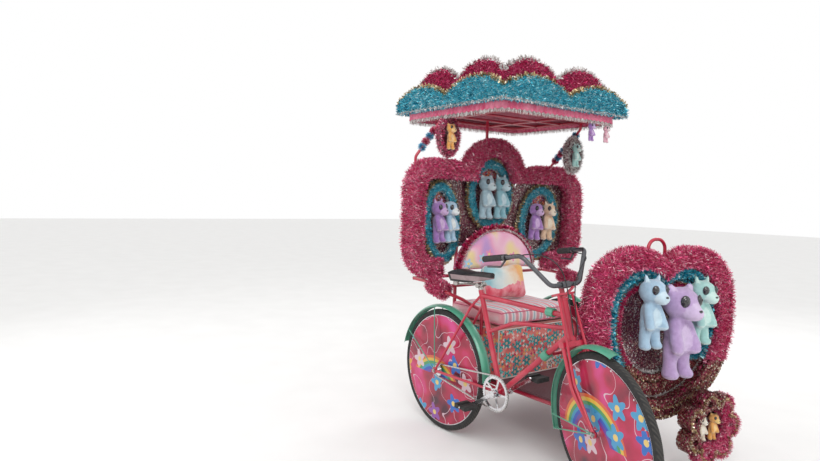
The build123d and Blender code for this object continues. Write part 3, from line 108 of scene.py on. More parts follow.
class Paint:
    """A material with its shader's plain numbers set on the shader itself, and its place on the piece."""

    def __init__(self, name, roughness=0.5, metallic=0.0, source="Object", placing=None, **sockets):
        self.finish = bpy.data.materials.new(name)
        self.finish.use_nodes = True
        self.tree = self.finish.node_tree
        self.shader = self.tree.nodes["Principled BSDF"]
        for key, value in {"Roughness": roughness, "Metallic": metallic, **sockets}.items():
            self.shader.inputs[key.replace("_", " ")].default_value = value
        self.place = self.mapped(source=source, **(placing or {}))

    def node(self, kind, inputs, **settings):
        """A new node with its settings and its inputs."""
        node = self.tree.nodes.new("ShaderNode" + kind)
        for key, value in settings.items():
            setattr(node, key, value)
        for key, value in inputs.items():
            feed(self.tree, value, node.inputs[key])
        return node

    def value(self, node, output):
        return Value(self.tree, node.outputs[output])

    def mapped(self, location=(0, 0, 0), rotation=(0, 0, 0), scale=(1, 1, 1), source="Object"):
        """Coordinates on the piece, centred and turned."""
        start = self.value(self.node("TexCoord", {}), source)
        inputs = {"Vector": start, "Location": location, "Rotation": rotation, "Scale": scale}
        return self.value(self.node("Mapping", inputs, vector_type="TEXTURE"), "Vector")

    def axes(self, place=None):
        split = self.node("SeparateXYZ", {"Vector": place or self.place})
        return [self.value(split, axis) for axis in "XYZ"]

    def channels(self, colour):
        split = self.node("SeparateColor", {"Color": colour})
        return [self.value(split, channel) for channel in ("Red", "Green", "Blue")]

    def noise(self, scale, detail=3.0, place=None):
        inputs = {"Vector": place or self.place, "Scale": scale, "Detail": detail}
        return self.value(self.node("TexNoise", inputs), "Fac")

    def cells(self, scale, output="Distance"):
        return self.value(self.node("TexVoronoi", {"Vector": self.place, "Scale": scale}), output)

    def stripes(self, scale, axis="X", distortion=0.0):
        inputs = {"Vector": self.place, "Scale": scale, "Distortion": distortion}
        return self.value(self.node("TexWave", inputs, bands_direction=axis), "Fac")

    def attribute(self, name):
        return self.value(self.node("Attribute", {}, attribute_name=name), "Fac")

    def ramp(self, factor, stops, interpolation="LINEAR"):
        """A colour from a list of positions and colours."""
        node = self.node("ValToRGB", {"Fac": factor})
        node.color_ramp.interpolation = interpolation
        elements = node.color_ramp.elements
        while len(elements) < len(stops):
            elements.new(0.5)
        for element, (position, colour) in zip(elements, stops):
            element.position = position
            element.color = (*colour, 1.0)
        return self.value(node, "Color")

    def mix(self, factor, first, second):
        """One colour over another."""
        return self.value(self.node("Mix", {0: factor, 6: first, 7: second}, data_type="RGBA"), 2)

    def colour(self, colour):
        feed(self.tree, colour, self.shader.inputs["Base Color"])

    def rough(self, factor, low, high):
        """Roughness that follows a pattern between two values."""
        node = self.node("MapRange", {"Value": factor, "To Min": low, "To Max": high})
        feed(self.tree, self.value(node, "Result"), self.shader.inputs["Roughness"])

    def bump(self, height, distance, strength=1.0):
        """A bump on top of any the shader has."""
        node = self.node("Bump", {"Strength": strength, "Distance": distance, "Height": height})
        earlier = self.shader.inputs["Normal"].links
        if earlier:
            self.tree.links.new(earlier[0].from_socket, node.inputs["Normal"])
        feed(self.tree, self.value(node, "Normal"), self.shader.inputs["Normal"])

    def weave(self, threads, depth):
        """The crossed threads of a plain cloth."""
        for axis in "XYZ":
            self.bump(self.stripes(threads, axis, 0.6), depth, 0.35)

    def blossoms(self, across, up, scale, size, petals, randomness=0.6):
        """Flowers scattered in a plane: inside them or not, their middles, and a number for each flower."""
        flat = self.value(self.node("CombineXYZ", {"X": across, "Y": up}), "Vector")
        inputs = {"Vector": flat, "Scale": scale, "Randomness": randomness}
        cells = self.node("TexVoronoi", inputs, voronoi_dimensions="2D")
        ends = {0: flat, 1: self.value(cells, "Position")}
        away = self.value(self.node("VectorMath", ends, operation="SUBTRACT"), "Vector")
        x, y, z = self.axes(away)
        wave = (y.work("ARCTAN2", x) * float(petals)).work("COSINE")
        length = self.value(self.node("VectorMath", {0: away}, operation="LENGTH"), "Value")
        inside = length < wave * (0.22 * size) + 0.72 * size
        return inside, length < 0.24 * size, self.channels(self.value(cells, "Color"))[0]


def shade(colour, share):
    return tuple(channel * share for channel in colour)


def pale(colour, share):
    return tuple(channel + (1 - channel) * share for channel in colour)


def enamel(name, colour):
    """Brushed-on gloss paint: uneven colour, dull dusty patches and small chips."""
    paint = Paint(name, Coat_Weight=0.5, Coat_Roughness=0.12)
    cloud = paint.noise(7.0, 5.0)
    base = paint.ramp(cloud, [(0.3, shade(colour, 0.72)), (0.55, colour), (0.8, pale(colour, 0.1))])
    paint.colour(paint.mix(paint.noise(95.0, 4.0) > 0.74, base, (0.16, 0.13, 0.12)))
    paint.rough(cloud, 0.2, 0.5)
    paint.bump(paint.noise(420.0, 2.0), 0.0004, 0.3)
    return paint.finish


def plated(name, colour, low, high):
    """Bright or dull plated metal with fine scratches and faint spots."""
    paint = Paint(name, metallic=1.0)
    spots = paint.noise(130.0, 6.0)
    paint.colour(paint.ramp(spots, [(0.3, shade(colour, 0.6)), (0.5, colour), (1.0, colour)]))
    paint.rough(paint.noise(24.0, 4.0), low, high)
    paint.bump(paint.noise(900.0, 2.0, paint.mapped(scale=(0.05, 1, 1))), 0.0002, 0.2)
    return paint.finish


def rubber(name, colour, ribs=0.0, axis="X"):
    """Dull dusty rubber, ribbed where it is asked for."""
    paint = Paint(name, roughness=0.75)
    dust = paint.noise(42.0, 6.0)
    paint.colour(paint.ramp(dust, [(0.4, colour), (0.8, pale(colour, 0.035))]))
    paint.rough(dust, 0.55, 0.9)
    paint.bump(paint.noise(600.0, 3.0), 0.0004, 0.5)
    if ribs:
        paint.bump(paint.stripes(ribs, axis), 0.0012, 0.8)
    return paint.finish


def wheel_axes(joint):
    """A wheel's middle, the way of its axle, the way ahead along the ground and the way up."""
    centre, axle = Vector(joint["pos_m"]), Vector(joint["axis"]).normalized()
    across = Vector((0, 0, 1)).cross(axle).normalized()
    return centre, axle, across, axle.cross(across).normalized()


def on_wheel(joint, moved=(0, 0, 0)):
    """Where coordinates centred on a wheel's axle start, and how they are turned."""
    centre, axle, across, over = wheel_axes(joint)
    turn = Matrix((across, axle, over)).transposed().to_euler()
    return {"location": tuple(centre + Vector(moved)), "rotation": tuple(turn)}


def tyre(name, joint, tread_radius=0.3445, blocks_round=110.0, slant=420.0, rings_out=2400.0):
    """Black rubber with slanting tread blocks, fine rings on the side wall and a little dust."""
    paint = Paint(name, roughness=0.75, placing=on_wheel(joint))
    wide, deep, high = paint.axes()
    radius = (wide ** 2.0 + high ** 2.0).work("SQRT")
    turned = high.work("ARCTAN2", wide) * blocks_round + deep.work("ABSOLUTE") * slant
    blocks = turned.work("SINE") > -0.3
    on_tread = radius > tread_radius
    rings = (radius * rings_out).work("SINE")
    dust = paint.noise(42.0, 6.0)
    base = paint.ramp(dust, [(0.4, (0.012, 0.0115, 0.012)), (0.8, (0.045, 0.043, 0.042))])
    paint.colour(paint.mix(on_tread * (1.0 - blocks), base, (0.05, 0.045, 0.04)))
    paint.rough(dust, 0.55, 0.9)
    paint.bump(paint.mix(on_tread, rings * 0.3, blocks), 0.0015)
    paint.bump(paint.noise(600.0, 3.0), 0.0003, 0.4)
    return paint.finish


def leather(name):
    """Black grained vinyl with mauve-grey sides."""
    paint = Paint(name, roughness=0.42)
    x, y, z = paint.axes()
    side_low, side_high, side_back = at(0, 0, 916).z, at(0, 0, 943).z, at(150, 0, 0).x
    panel = (z < side_high) * (z > side_low) * (x > side_back)
    worn = paint.noise(30.0, 4.0)
    black = paint.ramp(worn, [(0.35, (0.012, 0.011, 0.012)), (0.75, (0.05, 0.045, 0.045))])
    mauve = paint.ramp(worn, [(0.3, (0.24, 0.16, 0.17)), (0.7, (0.36, 0.27, 0.28))])
    paint.colour(paint.mix(panel, black, mauve))
    paint.rough(worn, 0.3, 0.6)
    paint.bump(paint.cells(520.0), 0.0005, 0.5)
    return paint.finish


def foil(name, stops, metallic=0.55):
    """Tinsel strips: every strip has its own shade from the stops."""
    paint = Paint(name, roughness=0.34, metallic=metallic)
    crinkle = paint.noise(260.0, 2.0)
    paint.colour(paint.mix(crinkle * 0.35, paint.ramp(paint.attribute("tint"), stops), (0.02, 0.01, 0.015)))
    paint.rough(crinkle, 0.22, 0.5)
    return paint.finish


def fuzz(name, stops):
    """The tangled inside of a tinsel roll, in the foil's colours darkened as painted shade."""
    paint = Paint(name, roughness=0.6)
    tangle = paint.noise(190.0, 5.0)
    # The foil's stops at 0.55 of their brightness: painted shade inside the roll
    painted_shade_stops = [(0.3 + 0.4 * position, shade(colour, 0.55)) for position, colour in stops]
    paint.colour(paint.ramp(tangle, painted_shade_stops))
    paint.bump(tangle, 0.006)
    return paint.finish


def sequin_cloth(name, dark, stops):
    """A board covered in cloth with small round sequins printed between the sewn ones."""
    paint = Paint(name, roughness=0.4)
    discs = 170.0
    disc = paint.cells(discs) < 0.42
    red, green, blue = paint.channels(paint.cells(discs, "Color"))
    paint.colour(paint.mix(disc, dark, paint.ramp(red, stops)))
    feed(paint.tree, disc, paint.shader.inputs["Metallic"])
    paint.rough(green, 0.2, 0.55)
    paint.bump(blue, 0.0012, 0.7)
    return paint.finish


def plain_cloth(name, low, high, cloud=5.0, threads=260.0):
    """Woven cloth whose colour drifts between two."""
    paint = Paint(name, roughness=0.85, Sheen_Weight=0.2)
    base = paint.ramp(paint.noise(cloud, 2.0), [(0.3, low), (0.7, high)])
    paint.colour(paint.mix(paint.noise(300.0, 3.0) * 0.25, base, (0.25, 0.2, 0.2)))
    paint.weave(threads, 0.0005)
    return paint.finish


def printed_satin(name, stops, cloud):
    """Pale satin in drifting colours with a scattered print of small flowers."""
    paint = Paint(name, roughness=0.6, Sheen_Weight=0.4)
    x, y, z = paint.axes()
    base = paint.ramp(paint.noise(cloud, 1.0), stops)
    flowers, hearts, hue = paint.blossoms(y, z, 9.5, 0.036, 5, 0.9)
    kept = flowers * (hue < 0.7)
    bloom = paint.ramp(hue, [(0.0, (0.85, 0.3, 0.5)), (0.25, (0.95, 0.88, 0.9)), (0.45, (0.4, 0.62, 0.78))],
                       "CONSTANT")
    paint.colour(paint.mix(kept * hearts, paint.mix(kept, base, bloom), (0.9, 0.7, 0.25)))
    paint.weave(300.0, 0.0004)
    return paint.finish


def flame_satin(name, low, high):
    """Satin that drifts from pale teal to orange across it, with red coming up from its foot."""
    paint = Paint(name, roughness=0.6, Sheen_Weight=0.4)
    x, y, z = paint.axes()
    drift = paint.noise(9.0, 3.0) * 0.6 - 0.3
    across = (y - low.y) * (1 / (high.y - low.y))
    rise = (z - low.z) * (1 / (high.z - low.z))
    base = paint.ramp(across + drift, [(0.05, (0.3, 0.6, 0.66)), (0.35, (0.72, 0.8, 0.78)),
                                       (0.55, (0.86, 0.8, 0.66)), (0.75, (0.88, 0.42, 0.12)),
                                       (1.0, (0.88, 0.55, 0.12))])
    fire = paint.ramp(paint.noise(16.0, 3.0), [(0.35, (0.7, 0.05, 0.1)), (0.6, (0.85, 0.3, 0.35)),
                                               (0.8, (0.9, 0.5, 0.3))])
    paint.colour(paint.mix(rise + drift * 1.6 < 0.42, base, fire))
    paint.weave(300.0, 0.0004)
    return paint.finish


def striped_cloth(name, stops, period, axis):
    """Woven cloth with printed stripes."""
    paint = Paint(name, roughness=0.82, Sheen_Weight=0.2)
    paint.colour(paint.ramp(paint.stripes(0.05 * 2 * math.pi / period, axis, 0.4), stops))
    paint.weave(240.0, 0.0005)
    return paint.finish


def plush(name, colour, belly):
    """Short soft pile in two colours."""
    paint = Paint(name, roughness=0.95, Sheen_Weight=0.45, Sheen_Roughness=0.6)
    cloud = paint.noise(38.0, 4.0)
    main = paint.ramp(cloud, [(0.3, shade(colour, 0.82)), (0.7, pale(colour, 0.08))])
    second = paint.ramp(cloud, [(0.3, shade(belly, 0.85)), (0.7, pale(belly, 0.08))])
    paint.colour(paint.mix(paint.attribute("patch"), main, second))
    paint.bump(paint.noise(650.0, 4.0), 0.0022, 0.8)
    return paint.finish


def floral_cloth(name):
    """Coral cloth with teal and cream blossoms, on the cover's own map in metres."""
    paint = Paint(name, roughness=0.8, source="UV", Sheen_Weight=0.15)
    x, y, z = paint.axes()
    base = paint.ramp(paint.noise(14.0, 3.0), [(0.3, (0.6, 0.09, 0.09)), (0.5, (0.78, 0.17, 0.15)),
                                               (0.7, (0.82, 0.3, 0.27))])
    leaves, _, hue = paint.blossoms(x, y, 24.0, 0.013, 3, 0.9)
    base = paint.mix(leaves, base, paint.ramp(hue, [(0.3, (0.02, 0.22, 0.22)), (0.8, (0.1, 0.5, 0.45))]))
    dots, _, hue = paint.blossoms(x, y, 36.0, 0.011, 4, 0.9)
    base = paint.mix(dots, base, paint.ramp(hue, [(0.0, (0.85, 0.7, 0.66)), (0.5, (0.85, 0.45, 0.12)),
                                                  (0.75, (0.6, 0.03, 0.1))], "CONSTANT"))
    flowers, hearts, hue = paint.blossoms(x, y, 11.5, 0.037, 6)
    base = paint.mix(flowers, base, paint.ramp(hue, [(0.0, (0.02, 0.3, 0.33)), (0.35, (0.06, 0.44, 0.44)),
                                                     (0.7, (0.2, 0.58, 0.56)), (0.9, (0.8, 0.68, 0.62))],
                                               "CONSTANT"))
    base = paint.mix(paint.blossoms(x, y, 11.5, 0.021, 5)[0], base, (0.01, 0.2, 0.22))
    paint.colour(paint.mix(hearts, base, (0.75, 0.4, 0.3)))
    paint.weave(260.0, 0.0004)
    return paint.finish


def wheel_print(name, joint, seed, arch_drop, arch_x=0.05, arch_inner=0.13, arch_width=0.1):
    """A printed cover centred on its axle: a magenta ground with white curls, a rainbow arch and flowers."""
    paint = Paint(name, roughness=0.3, placing=on_wheel(joint), Coat_Weight=0.4)
    wide, _, high = paint.axes()
    shifted = paint.mapped(**on_wheel(joint, (0.37 * seed, 0, 0.21 * seed)))
    cloud = paint.noise(6.0, 2.0, shifted)
    base = paint.ramp(cloud, [(0.32, (0.05, 0.0, 0.015)), (0.45, (0.27, 0.002, 0.03)),
                              (0.57, (0.45, 0.006, 0.06)), (0.72, (0.6, 0.04, 0.22))])
    curl = (paint.noise(9.0, 0.0, shifted) - 0.5).work("ABSOLUTE")
    base = paint.mix(curl < 0.007, base, (0.6, 0.42, 0.48))
    aside = wide - arch_x
    arch = (aside * aside + (high + arch_drop) ** 2.0).work("SQRT")
    level = (arch - arch_inner) * (1 / arch_width)
    bands = paint.ramp(level, [(0.0, (0.13, 0.04, 0.28)), (0.17, (0.015, 0.07, 0.4)),
                               (0.34, (0.02, 0.25, 0.42)), (0.5, (0.05, 0.27, 0.09)),
                               (0.67, (0.65, 0.42, 0.05)), (0.84, (0.6, 0.11, 0.03))], "CONSTANT")
    base = paint.mix((level > 0.0) * (level < 1.0) * (high > -0.04), base, bands)
    flowers, hearts, hue = paint.blossoms(wide + 0.43 * seed, high, 7.0, 0.062, 5, 0.8)
    kept = flowers * (hue < 0.62)
    bloom = paint.ramp(hue, [(0.0, (0.015, 0.12, 0.45)), (0.18, (0.05, 0.28, 0.5)),
                             (0.34, (0.25, 0.07, 0.34)), (0.46, (0.6, 0.3, 0.04)), (0.55, (0.6, 0.45, 0.5))],
                       "CONSTANT")
    paint.colour(paint.mix(kept * hearts, paint.mix(kept, base, bloom), (0.7, 0.5, 0.15)))
    paint.rough(cloud, 0.22, 0.5)
    paint.bump(paint.noise(30.0, 2.0), 0.0015, 0.4)
    return paint.finish


def glossy(name, colour, roughness=0.08):
    """A hard glossy bead."""
    paint = Paint(name, roughness=roughness, Coat_Weight=1.0)
    paint.colour(paint.ramp(paint.noise(400.0), [(0.3, shade(colour, 0.8)), (0.7, colour)]))
    return paint.finish


# The shades of the foils, of the sequins and of the rolls' insides; the palest end of each foil's stops is
# mostly taken by strips painted as glints
SHADES = {
    "pink": [(0.0, (0.42, 0.015, 0.1)), (0.3, (0.8, 0.06, 0.22)), (0.55, (0.92, 0.2, 0.36)),
             (0.8, (1.0, 0.5, 0.6)), (1.0, (1.0, 0.9, 0.92))],
    "teal": [(0.0, (0.01, 0.2, 0.34)), (0.3, (0.03, 0.45, 0.62)), (0.6, (0.14, 0.7, 0.84)),
             (0.85, (0.55, 0.92, 0.96)), (1.0, (0.97, 1.0, 1.0))],
    "crimson": [(0.0, (0.3, 0.0, 0.06)), (0.45, (0.72, 0.02, 0.15)), (0.8, (0.88, 0.12, 0.28)),
                (1.0, (1.0, 0.55, 0.6))],
    "silver": [(0.0, (0.5, 0.46, 0.45)), (0.4, (0.8, 0.76, 0.74)), (0.8, (0.94, 0.92, 0.9)),
               (1.0, (1.0, 1.0, 1.0))],
    "gold": [(0.0, (0.25, 0.16, 0.07)), (0.4, (0.6, 0.45, 0.24)), (0.8, (0.82, 0.7, 0.45)),
             (1.0, (1.0, 0.95, 0.8))],
    "blue": [(0.0, (0.05, 0.32, 0.6)), (0.4, (0.16, 0.6, 0.86)), (0.8, (0.5, 0.82, 0.95)),
             (1.0, (0.9, 0.97, 1.0))],
    "night": [(0.0, (0.05, 0.02, 0.04)), (0.35, (0.3, 0.05, 0.1)), (0.6, (0.45, 0.3, 0.25)),
              (0.8, (0.5, 0.45, 0.42)), (1.0, (0.8, 0.78, 0.75))],
    "ember": [(0.0, (0.3, 0.02, 0.03)), (0.35, (0.75, 0.05, 0.05)), (0.6, (0.85, 0.3, 0.08)),
              (0.8, (0.2, 0.1, 0.5)), (1.0, (0.9, 0.7, 0.3))],
    "rust": [(0.0, (0.04, 0.008, 0.012)), (0.4, (0.2, 0.025, 0.035)), (0.68, (0.3, 0.07, 0.07)),
             (0.88, (0.4, 0.27, 0.18)), (1.0, (0.85, 0.78, 0.65))],
}
SEQUINS = ("night", "ember", "rust")
METALLIC = {"silver": 0.4, "gold": 0.8, "night": 0.8, "ember": 0.75, "rust": 0.75}
FOILS = {}
for colour, stops in SHADES.items():
    kind = "_sequins" if colour in SEQUINS else "_foil"
    FOILS[colour] = foil(colour + kind, stops, METALLIC.get(colour, 0.55))
FUZZES = {colour: fuzz(colour + "_fuzz", SHADES[colour]) for colour in ("pink", "teal", "crimson")}

FRAME_PAINT = enamel("frame_paint", (0.5, 0.012, 0.045))
CARRIER_PAINT = enamel("carrier_paint", (0.4, 0.012, 0.04))
JADE_PAINT = enamel("jade_paint", (0.07, 0.34, 0.22))
CHROME = plated("chrome", (0.72, 0.72, 0.74), 0.1, 0.3)
DARK_CHROME = plated("dark_chrome", (0.13, 0.13, 0.14), 0.2, 0.45)
STEEL = plated("steel", (0.5, 0.48, 0.46), 0.25, 0.5)
GRIP = rubber("grip_rubber", (0.015, 0.015, 0.015), 60.0, "X")
CABLE_RUBBER = rubber("cable_housing", (0.02, 0.02, 0.022))
DARK_BOARD = sequin_cloth("dark_sequin_cloth", (0.09, 0.02, 0.035), SHADES["night"])
BEAD = glossy("bead_black", (0.012, 0.01, 0.015))
FELT = plain_cloth("white_felt", (0.75, 0.74, 0.72), (0.88, 0.87, 0.85))
# The white of the small ball on each toy's eye: a painted highlight
PAINTED_GLINT = glossy("painted_glint_white", (0.9, 0.9, 0.9), 0.3)
STRING_CLOTH = plain_cloth("red_string", (0.4, 0.02, 0.05), (0.55, 0.05, 0.09), 40.0, 500.0)
PALE_PIPING = plain_cloth("pale_piping", (0.72, 0.62, 0.58), (0.82, 0.74, 0.7), 20.0, 420.0)
ROSE_PIPING = plain_cloth("rose_piping", (0.62, 0.06, 0.16), (0.78, 0.14, 0.26), 20.0, 420.0)
ROOF_TOP = plain_cloth("roof_top_cloth", (0.3, 0.03, 0.07), (0.45, 0.05, 0.11), 6.0)
ROOF_LINING = striped_cloth("roof_lining_cloth", [(0.0, (0.2, 0.02, 0.05)), (0.45, (0.36, 0.05, 0.1)),
                                                  (1.0, (0.5, 0.14, 0.2))], 0.05, "X")
VALANCE_CLOTH = plain_cloth("valance_cloth", (0.72, 0.06, 0.18), (0.9, 0.25, 0.38), 12.0)

NODE_FINISHES = [
    (CHROME, ["rear_rim", "side_rim", "front_rim", "crankset"]),
    (STEEL, ["fixed_axles", "front_axle", "chain", "saddle_post"]),
    (DARK_CHROME, ["handlebar", "brake_levers"]),
    (GRIP, ["pedal_left", "pedal_right", "grips"]),
    (FRAME_PAINT, ["bike_frame", "fork", "board_frame", "coupling_arms", "canopy_struts", "arm_rails"]),
    (CARRIER_PAINT, ["base_ring", "seat_posts", "wheel_carrier", "canopy_frame"]),
    (JADE_PAINT, ["rear_mudguard", "side_mudguard", "front_mudguard", "coupler_clamps"]),
    (DARK_BOARD, ["heart_board", "flower_board", "back_board"]),
    (leather("saddle_leather"), ["saddle"]),
    (rubber("floor_mat", (0.1, 0.03, 0.04), 18.0, "Y"), ["floor_board"]),
    (plain_cloth("box_lining", (0.45, 0.1, 0.09), (0.6, 0.16, 0.13), 9.0), ["seat_box"]),
]
for number, (wheel, arch_drop) in enumerate((("rear", 0.16), ("side", 0.1), ("front", 0.08)), 1):
    joint = JOINTS[wheel + "_spin"]
    NODE_FINISHES.append((tyre(wheel + "_tyre_rubber", joint), [wheel + "_tyre"]))
    NODE_FINISHES.append((wheel_print(wheel + "_wheel_print", joint, number, arch_drop), [wheel + "_cover"]))
for finish, nodes in NODE_FINISHES:
    for node in nodes:
        materials = frame["nodes"][node].data.materials
        materials.clear()
        materials.append(finish)


# Pieces
def link(thing):
    SCENE.collection.objects.link(thing)
    return thing


def new_piece(name, mesh, finishes, body="chassis", node=None, smooth=True):
    """A finished mesh as a piece that rides on a body and the node it stands for."""
    mesh.name = name
    mesh.materials.clear()
    for finish in finishes:
        mesh.materials.append(finish)
    if smooth:
        mesh.shade_smooth()
    piece = link(bpy.data.objects.new(name, mesh))
    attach(piece, body)
    if node:
        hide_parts(node)
    return piece


def mesh_of(shape):
    """A bmesh as a mesh."""
    mesh = bpy.data.meshes.new("shape")
    shape.to_mesh(mesh)
    shape.free()
    return mesh


def taken(helper):
    """The mesh that a helper object comes to after its modifiers. The helper goes."""
    mesh = bpy.data.meshes.new_from_object(helper.evaluated_get(bpy.context.evaluated_depsgraph_get()))
    bpy.data.objects.remove(helper)
    return mesh


def shaped(data, steps=()):
    """A mesh or a curve as a mesh, after a list of modifiers, each a kind and its settings."""
    helper = link(bpy.data.objects.new("helper", data))
    for kind, settings in steps:
        modifier = helper.modifiers.new(kind, kind)
        for key, value in settings.items():
            setattr(modifier, key, value)
    bpy.context.view_layer.update()
    return taken(helper)


def points_of(mesh):
    places = np.empty(len(mesh.vertices) * 3)
    mesh.vertices.foreach_get("co", places)
    return places.reshape(-1, 3)


def move_points(mesh, places):
    mesh.vertices.foreach_set("co", np.ascontiguousarray(places, dtype=np.float32).ravel())
    mesh.update()


def mark_points(mesh, name, values):
    """Keeps one number for each point, for a finish to read."""
    attribute = mesh.attributes.get(name) or mesh.attributes.new(name, "FLOAT", "POINT")
    attribute.data.foreach_set("value", np.ascontiguousarray(values, dtype=np.float32))


def core_of(node, shrink):
    """A CAD solid's own surface as one skin, drawn in by a distance."""
    shape = bmesh.new()
    shape.from_mesh(frame["nodes"][node].data)
    bmesh.ops.remove_doubles(shape, verts=shape.verts, dist=0.00002)
    shape.normal_update()
    for vert in shape.verts:
        vert.co -= vert.normal * shrink
    return mesh_of(shape)


def skin_points(node, count, seed, keep=None):
    """Evenly strewn points on a CAD solid's surface, with the surface's normals there."""
    mesh = frame["nodes"][node].data
    mesh.calc_loop_triangles()
    places = points_of(mesh)
    corners = np.empty(len(mesh.loop_triangles) * 3, np.int32)
    mesh.loop_triangles.foreach_get("vertices", corners)
    first, second, third = (places[corners.reshape(-1, 3)[:, i]] for i in range(3))
    normals = np.cross(second - first, third - first)
    sizes = np.linalg.norm(normals, axis=1)
    normals /= np.maximum(sizes, 1e-12)[:, None]
    random = np.random.default_rng(seed)
    picks = random.choice(len(sizes), size=count, p=sizes / sizes.sum())
    along = np.sqrt(random.random(count))[:, None]
    share = random.random(count)[:, None]
    found = (1 - along) * first[picks] + along * (1 - share) * second[picks] + along * share * third[picks]
    facing = normals[picks]
    if keep is None:
        return found, facing
    kept = keep(found, facing)
    return found[kept], facing[kept]


def unit(vectors):
    return vectors / np.maximum(np.linalg.norm(vectors, axis=1), 1e-12)[:, None]


def scattered(normals, lean, random):
    """Directions that lean away from the normals at random, and directions square to them."""
    out = unit(normals + lean * unit(random.normal(size=normals.shape)))
    return out, unit(np.cross(out, unit(random.normal(size=normals.shape))))


def strew(name, shape, places, across, up, out, tint, finish, body="chassis", node=None, smooth=False):
    """Copies of one small shape, each at its own place with its own three directions and shade."""
    single = mesh_of(shape)
    base = points_of(single)
    mesh = shaped(single, [("ARRAY", {"count": len(places), "use_relative_offset": False})])
    put = places[:, None, :]
    for axis, way in enumerate((across, up, out)):
        put = put + base[None, :, axis:axis + 1] * way[:, None, :]
    move_points(mesh, put.reshape(-1, 3))
    mark_points(mesh, "tint", np.repeat(tint, len(base)))
    return new_piece(name, mesh, [finish], body, node, smooth)


def strip_shape(width):
    """A flat strip of foil, one long, a little narrower at its tip."""
    shape = bmesh.new()
    bmesh.ops.create_grid(shape, x_segments=1, y_segments=1, size=0.5,
                          matrix=Matrix.Translation((0, 0.5, 0)) @ Matrix.Diagonal((width, 1, 1, 1)))
    for vert in shape.verts:
        vert.co.x *= 1 - 0.45 * vert.co.y
        vert.co.z = 0.25 * vert.co.y * vert.co.y
    return shape


def tinsel(name, places, normals, colour, length, width, seed, lean, sink=0.0, painted_glints=0.08,
           node=None):
    """Strips of foil standing out of a surface in all directions."""
    random = np.random.default_rng(seed)
    count = len(places)
    out, across = scattered(normals, lean, random)
    back = np.cross(across, out)
    long = length * random.uniform(0.6, 1.15, count)[:, None]
    tint = np.clip(random.beta(2.2, 2.6, count) * 0.9, 0, 1)
    # A share of the strips take the palest end of their stops: painted glints
    tint = np.where(random.random(count) < painted_glints, random.uniform(0.85, 1.0, count), tint)
    # A soft drift of light and dark clumps along the roll
    x, y, z = places.T
    clump = np.sin(x * 61 + 3 * np.sin(y * 37)) * np.sin(z * 53 + y * 47)
    tint = np.clip(tint + 0.12 * clump, 0, 1)
    return strew(name, strip_shape(width / length), places - normals * sink, across * long, out * long,
                 back * long, tint, FOILS[colour], node=node)


def sequins(name, places, normals, colour, size, seed, lift=0.0012):
    """Small flat discs sewn on a board, each tilted its own way."""
    random = np.random.default_rng(seed)
    out, across = scattered(normals, 0.25, random)
    shape = bmesh.new()
    bmesh.ops.create_circle(shape, cap_ends=True, segments=6, radius=size / 2)
    return strew(name, shape, places + normals * lift, across, np.cross(out, across), out,
                 random.random(len(places)), FOILS[colour])


def tube_mesh(lines, radius, closed=False, sides=2):
    """Round tubes along lines of points."""
    curve = bpy.data.curves.new("line", "CURVE")
    curve.dimensions = "3D"
    curve.bevel_depth = radius
    curve.bevel_resolution = sides
    curve.use_fill_caps = not closed
    for line in lines:
        spline = curve.splines.new("POLY")
        spline.points.add(len(line) - 1)
        for point, place in zip(spline.points, line):
            point.co = (*place, 1.0)
        spline.use_cyclic_u = closed
    return shaped(curve)


def marked(line):
    """The runs of a line of points, and how far along it each point is."""
    runs = np.diff(line, axis=0)
    lengths = np.linalg.norm(runs, axis=1)
    return runs, lengths, np.concatenate([[0], np.cumsum(lengths)])


def along(lines, step, closed=False):
    """Points every step along lines, and the direction of the line at each."""
    places, ways = [], []
    for line in lines:
        line = np.array([tuple(point) for point in line])
        if closed:
            line = np.vstack([line, line[:1]])
        runs, lengths, marks = marked(line)
        stops = np.linspace(0, marks[-1], max(2, int(marks[-1] / step)), endpoint=not closed)
        index = np.clip(np.searchsorted(marks, stops, side="right") - 1, 0, len(runs) - 1)
        share = (stops - marks[index]) / np.maximum(lengths[index], 1e-12)
        places.append(line[index] + runs[index] * share[:, None])
        ways.append(unit(runs[index]))
    return np.vstack(places), np.vstack(ways)


# How far apart the strips of a braid or a fringe stand
STRIP_STEP = 0.0011


def braid(name, lines, colour, radius, seed, closed=True, dense=1.0):
    """A thin rope of foil along lines: short strips all round them."""
    places, ways = along(lines, STRIP_STEP / dense, closed)
    random = np.random.default_rng(seed)
    out = unit(np.cross(ways, unit(random.normal(size=ways.shape))))
    return tinsel(name, places, out, colour, radius, radius * 0.42, seed, 0.45, painted_glints=0.2)


class Board:
    """A flat face of the CAD, turned about the upright: across, up and out of it, in millimetres."""

    def __init__(self, x, y, z, degrees=0.0):
        turn = math.radians(degrees)
        self.origin = Vector((x, y, z))
        self.across = Vector((math.sin(turn), math.cos(turn), 0)).normalized()
        self.out = Vector((math.cos(turn), -math.sin(turn), 0)).normalized()
        self.up = self.out.cross(self.across)

    def point(self, u, v, w=0.0):
        return at(*(self.origin + self.across * u + self.up * v + self.out * w))

    def line(self, outline, w):
        return [self.point(u, v, w) for u, v in outline]

    def local(self, places):
        """Across, up and out of world points, in millimetres."""
        away = (places - np.array(at(*self.origin))) * 1000
        return np.stack([away @ np.array(way) for way in (self.across, self.up, self.out)], axis=1)

    def matrix(self, u, v, w, lean=0.0):
        """From metres on the board to the part's frame, leaned in the board's plane."""
        turn = Matrix((self.across, self.up, self.out)).transposed().to_4x4()
        return Matrix.Translation(self.point(u, v, w)) @ turn @ Matrix.Rotation(math.radians(lean), 4, "Z")


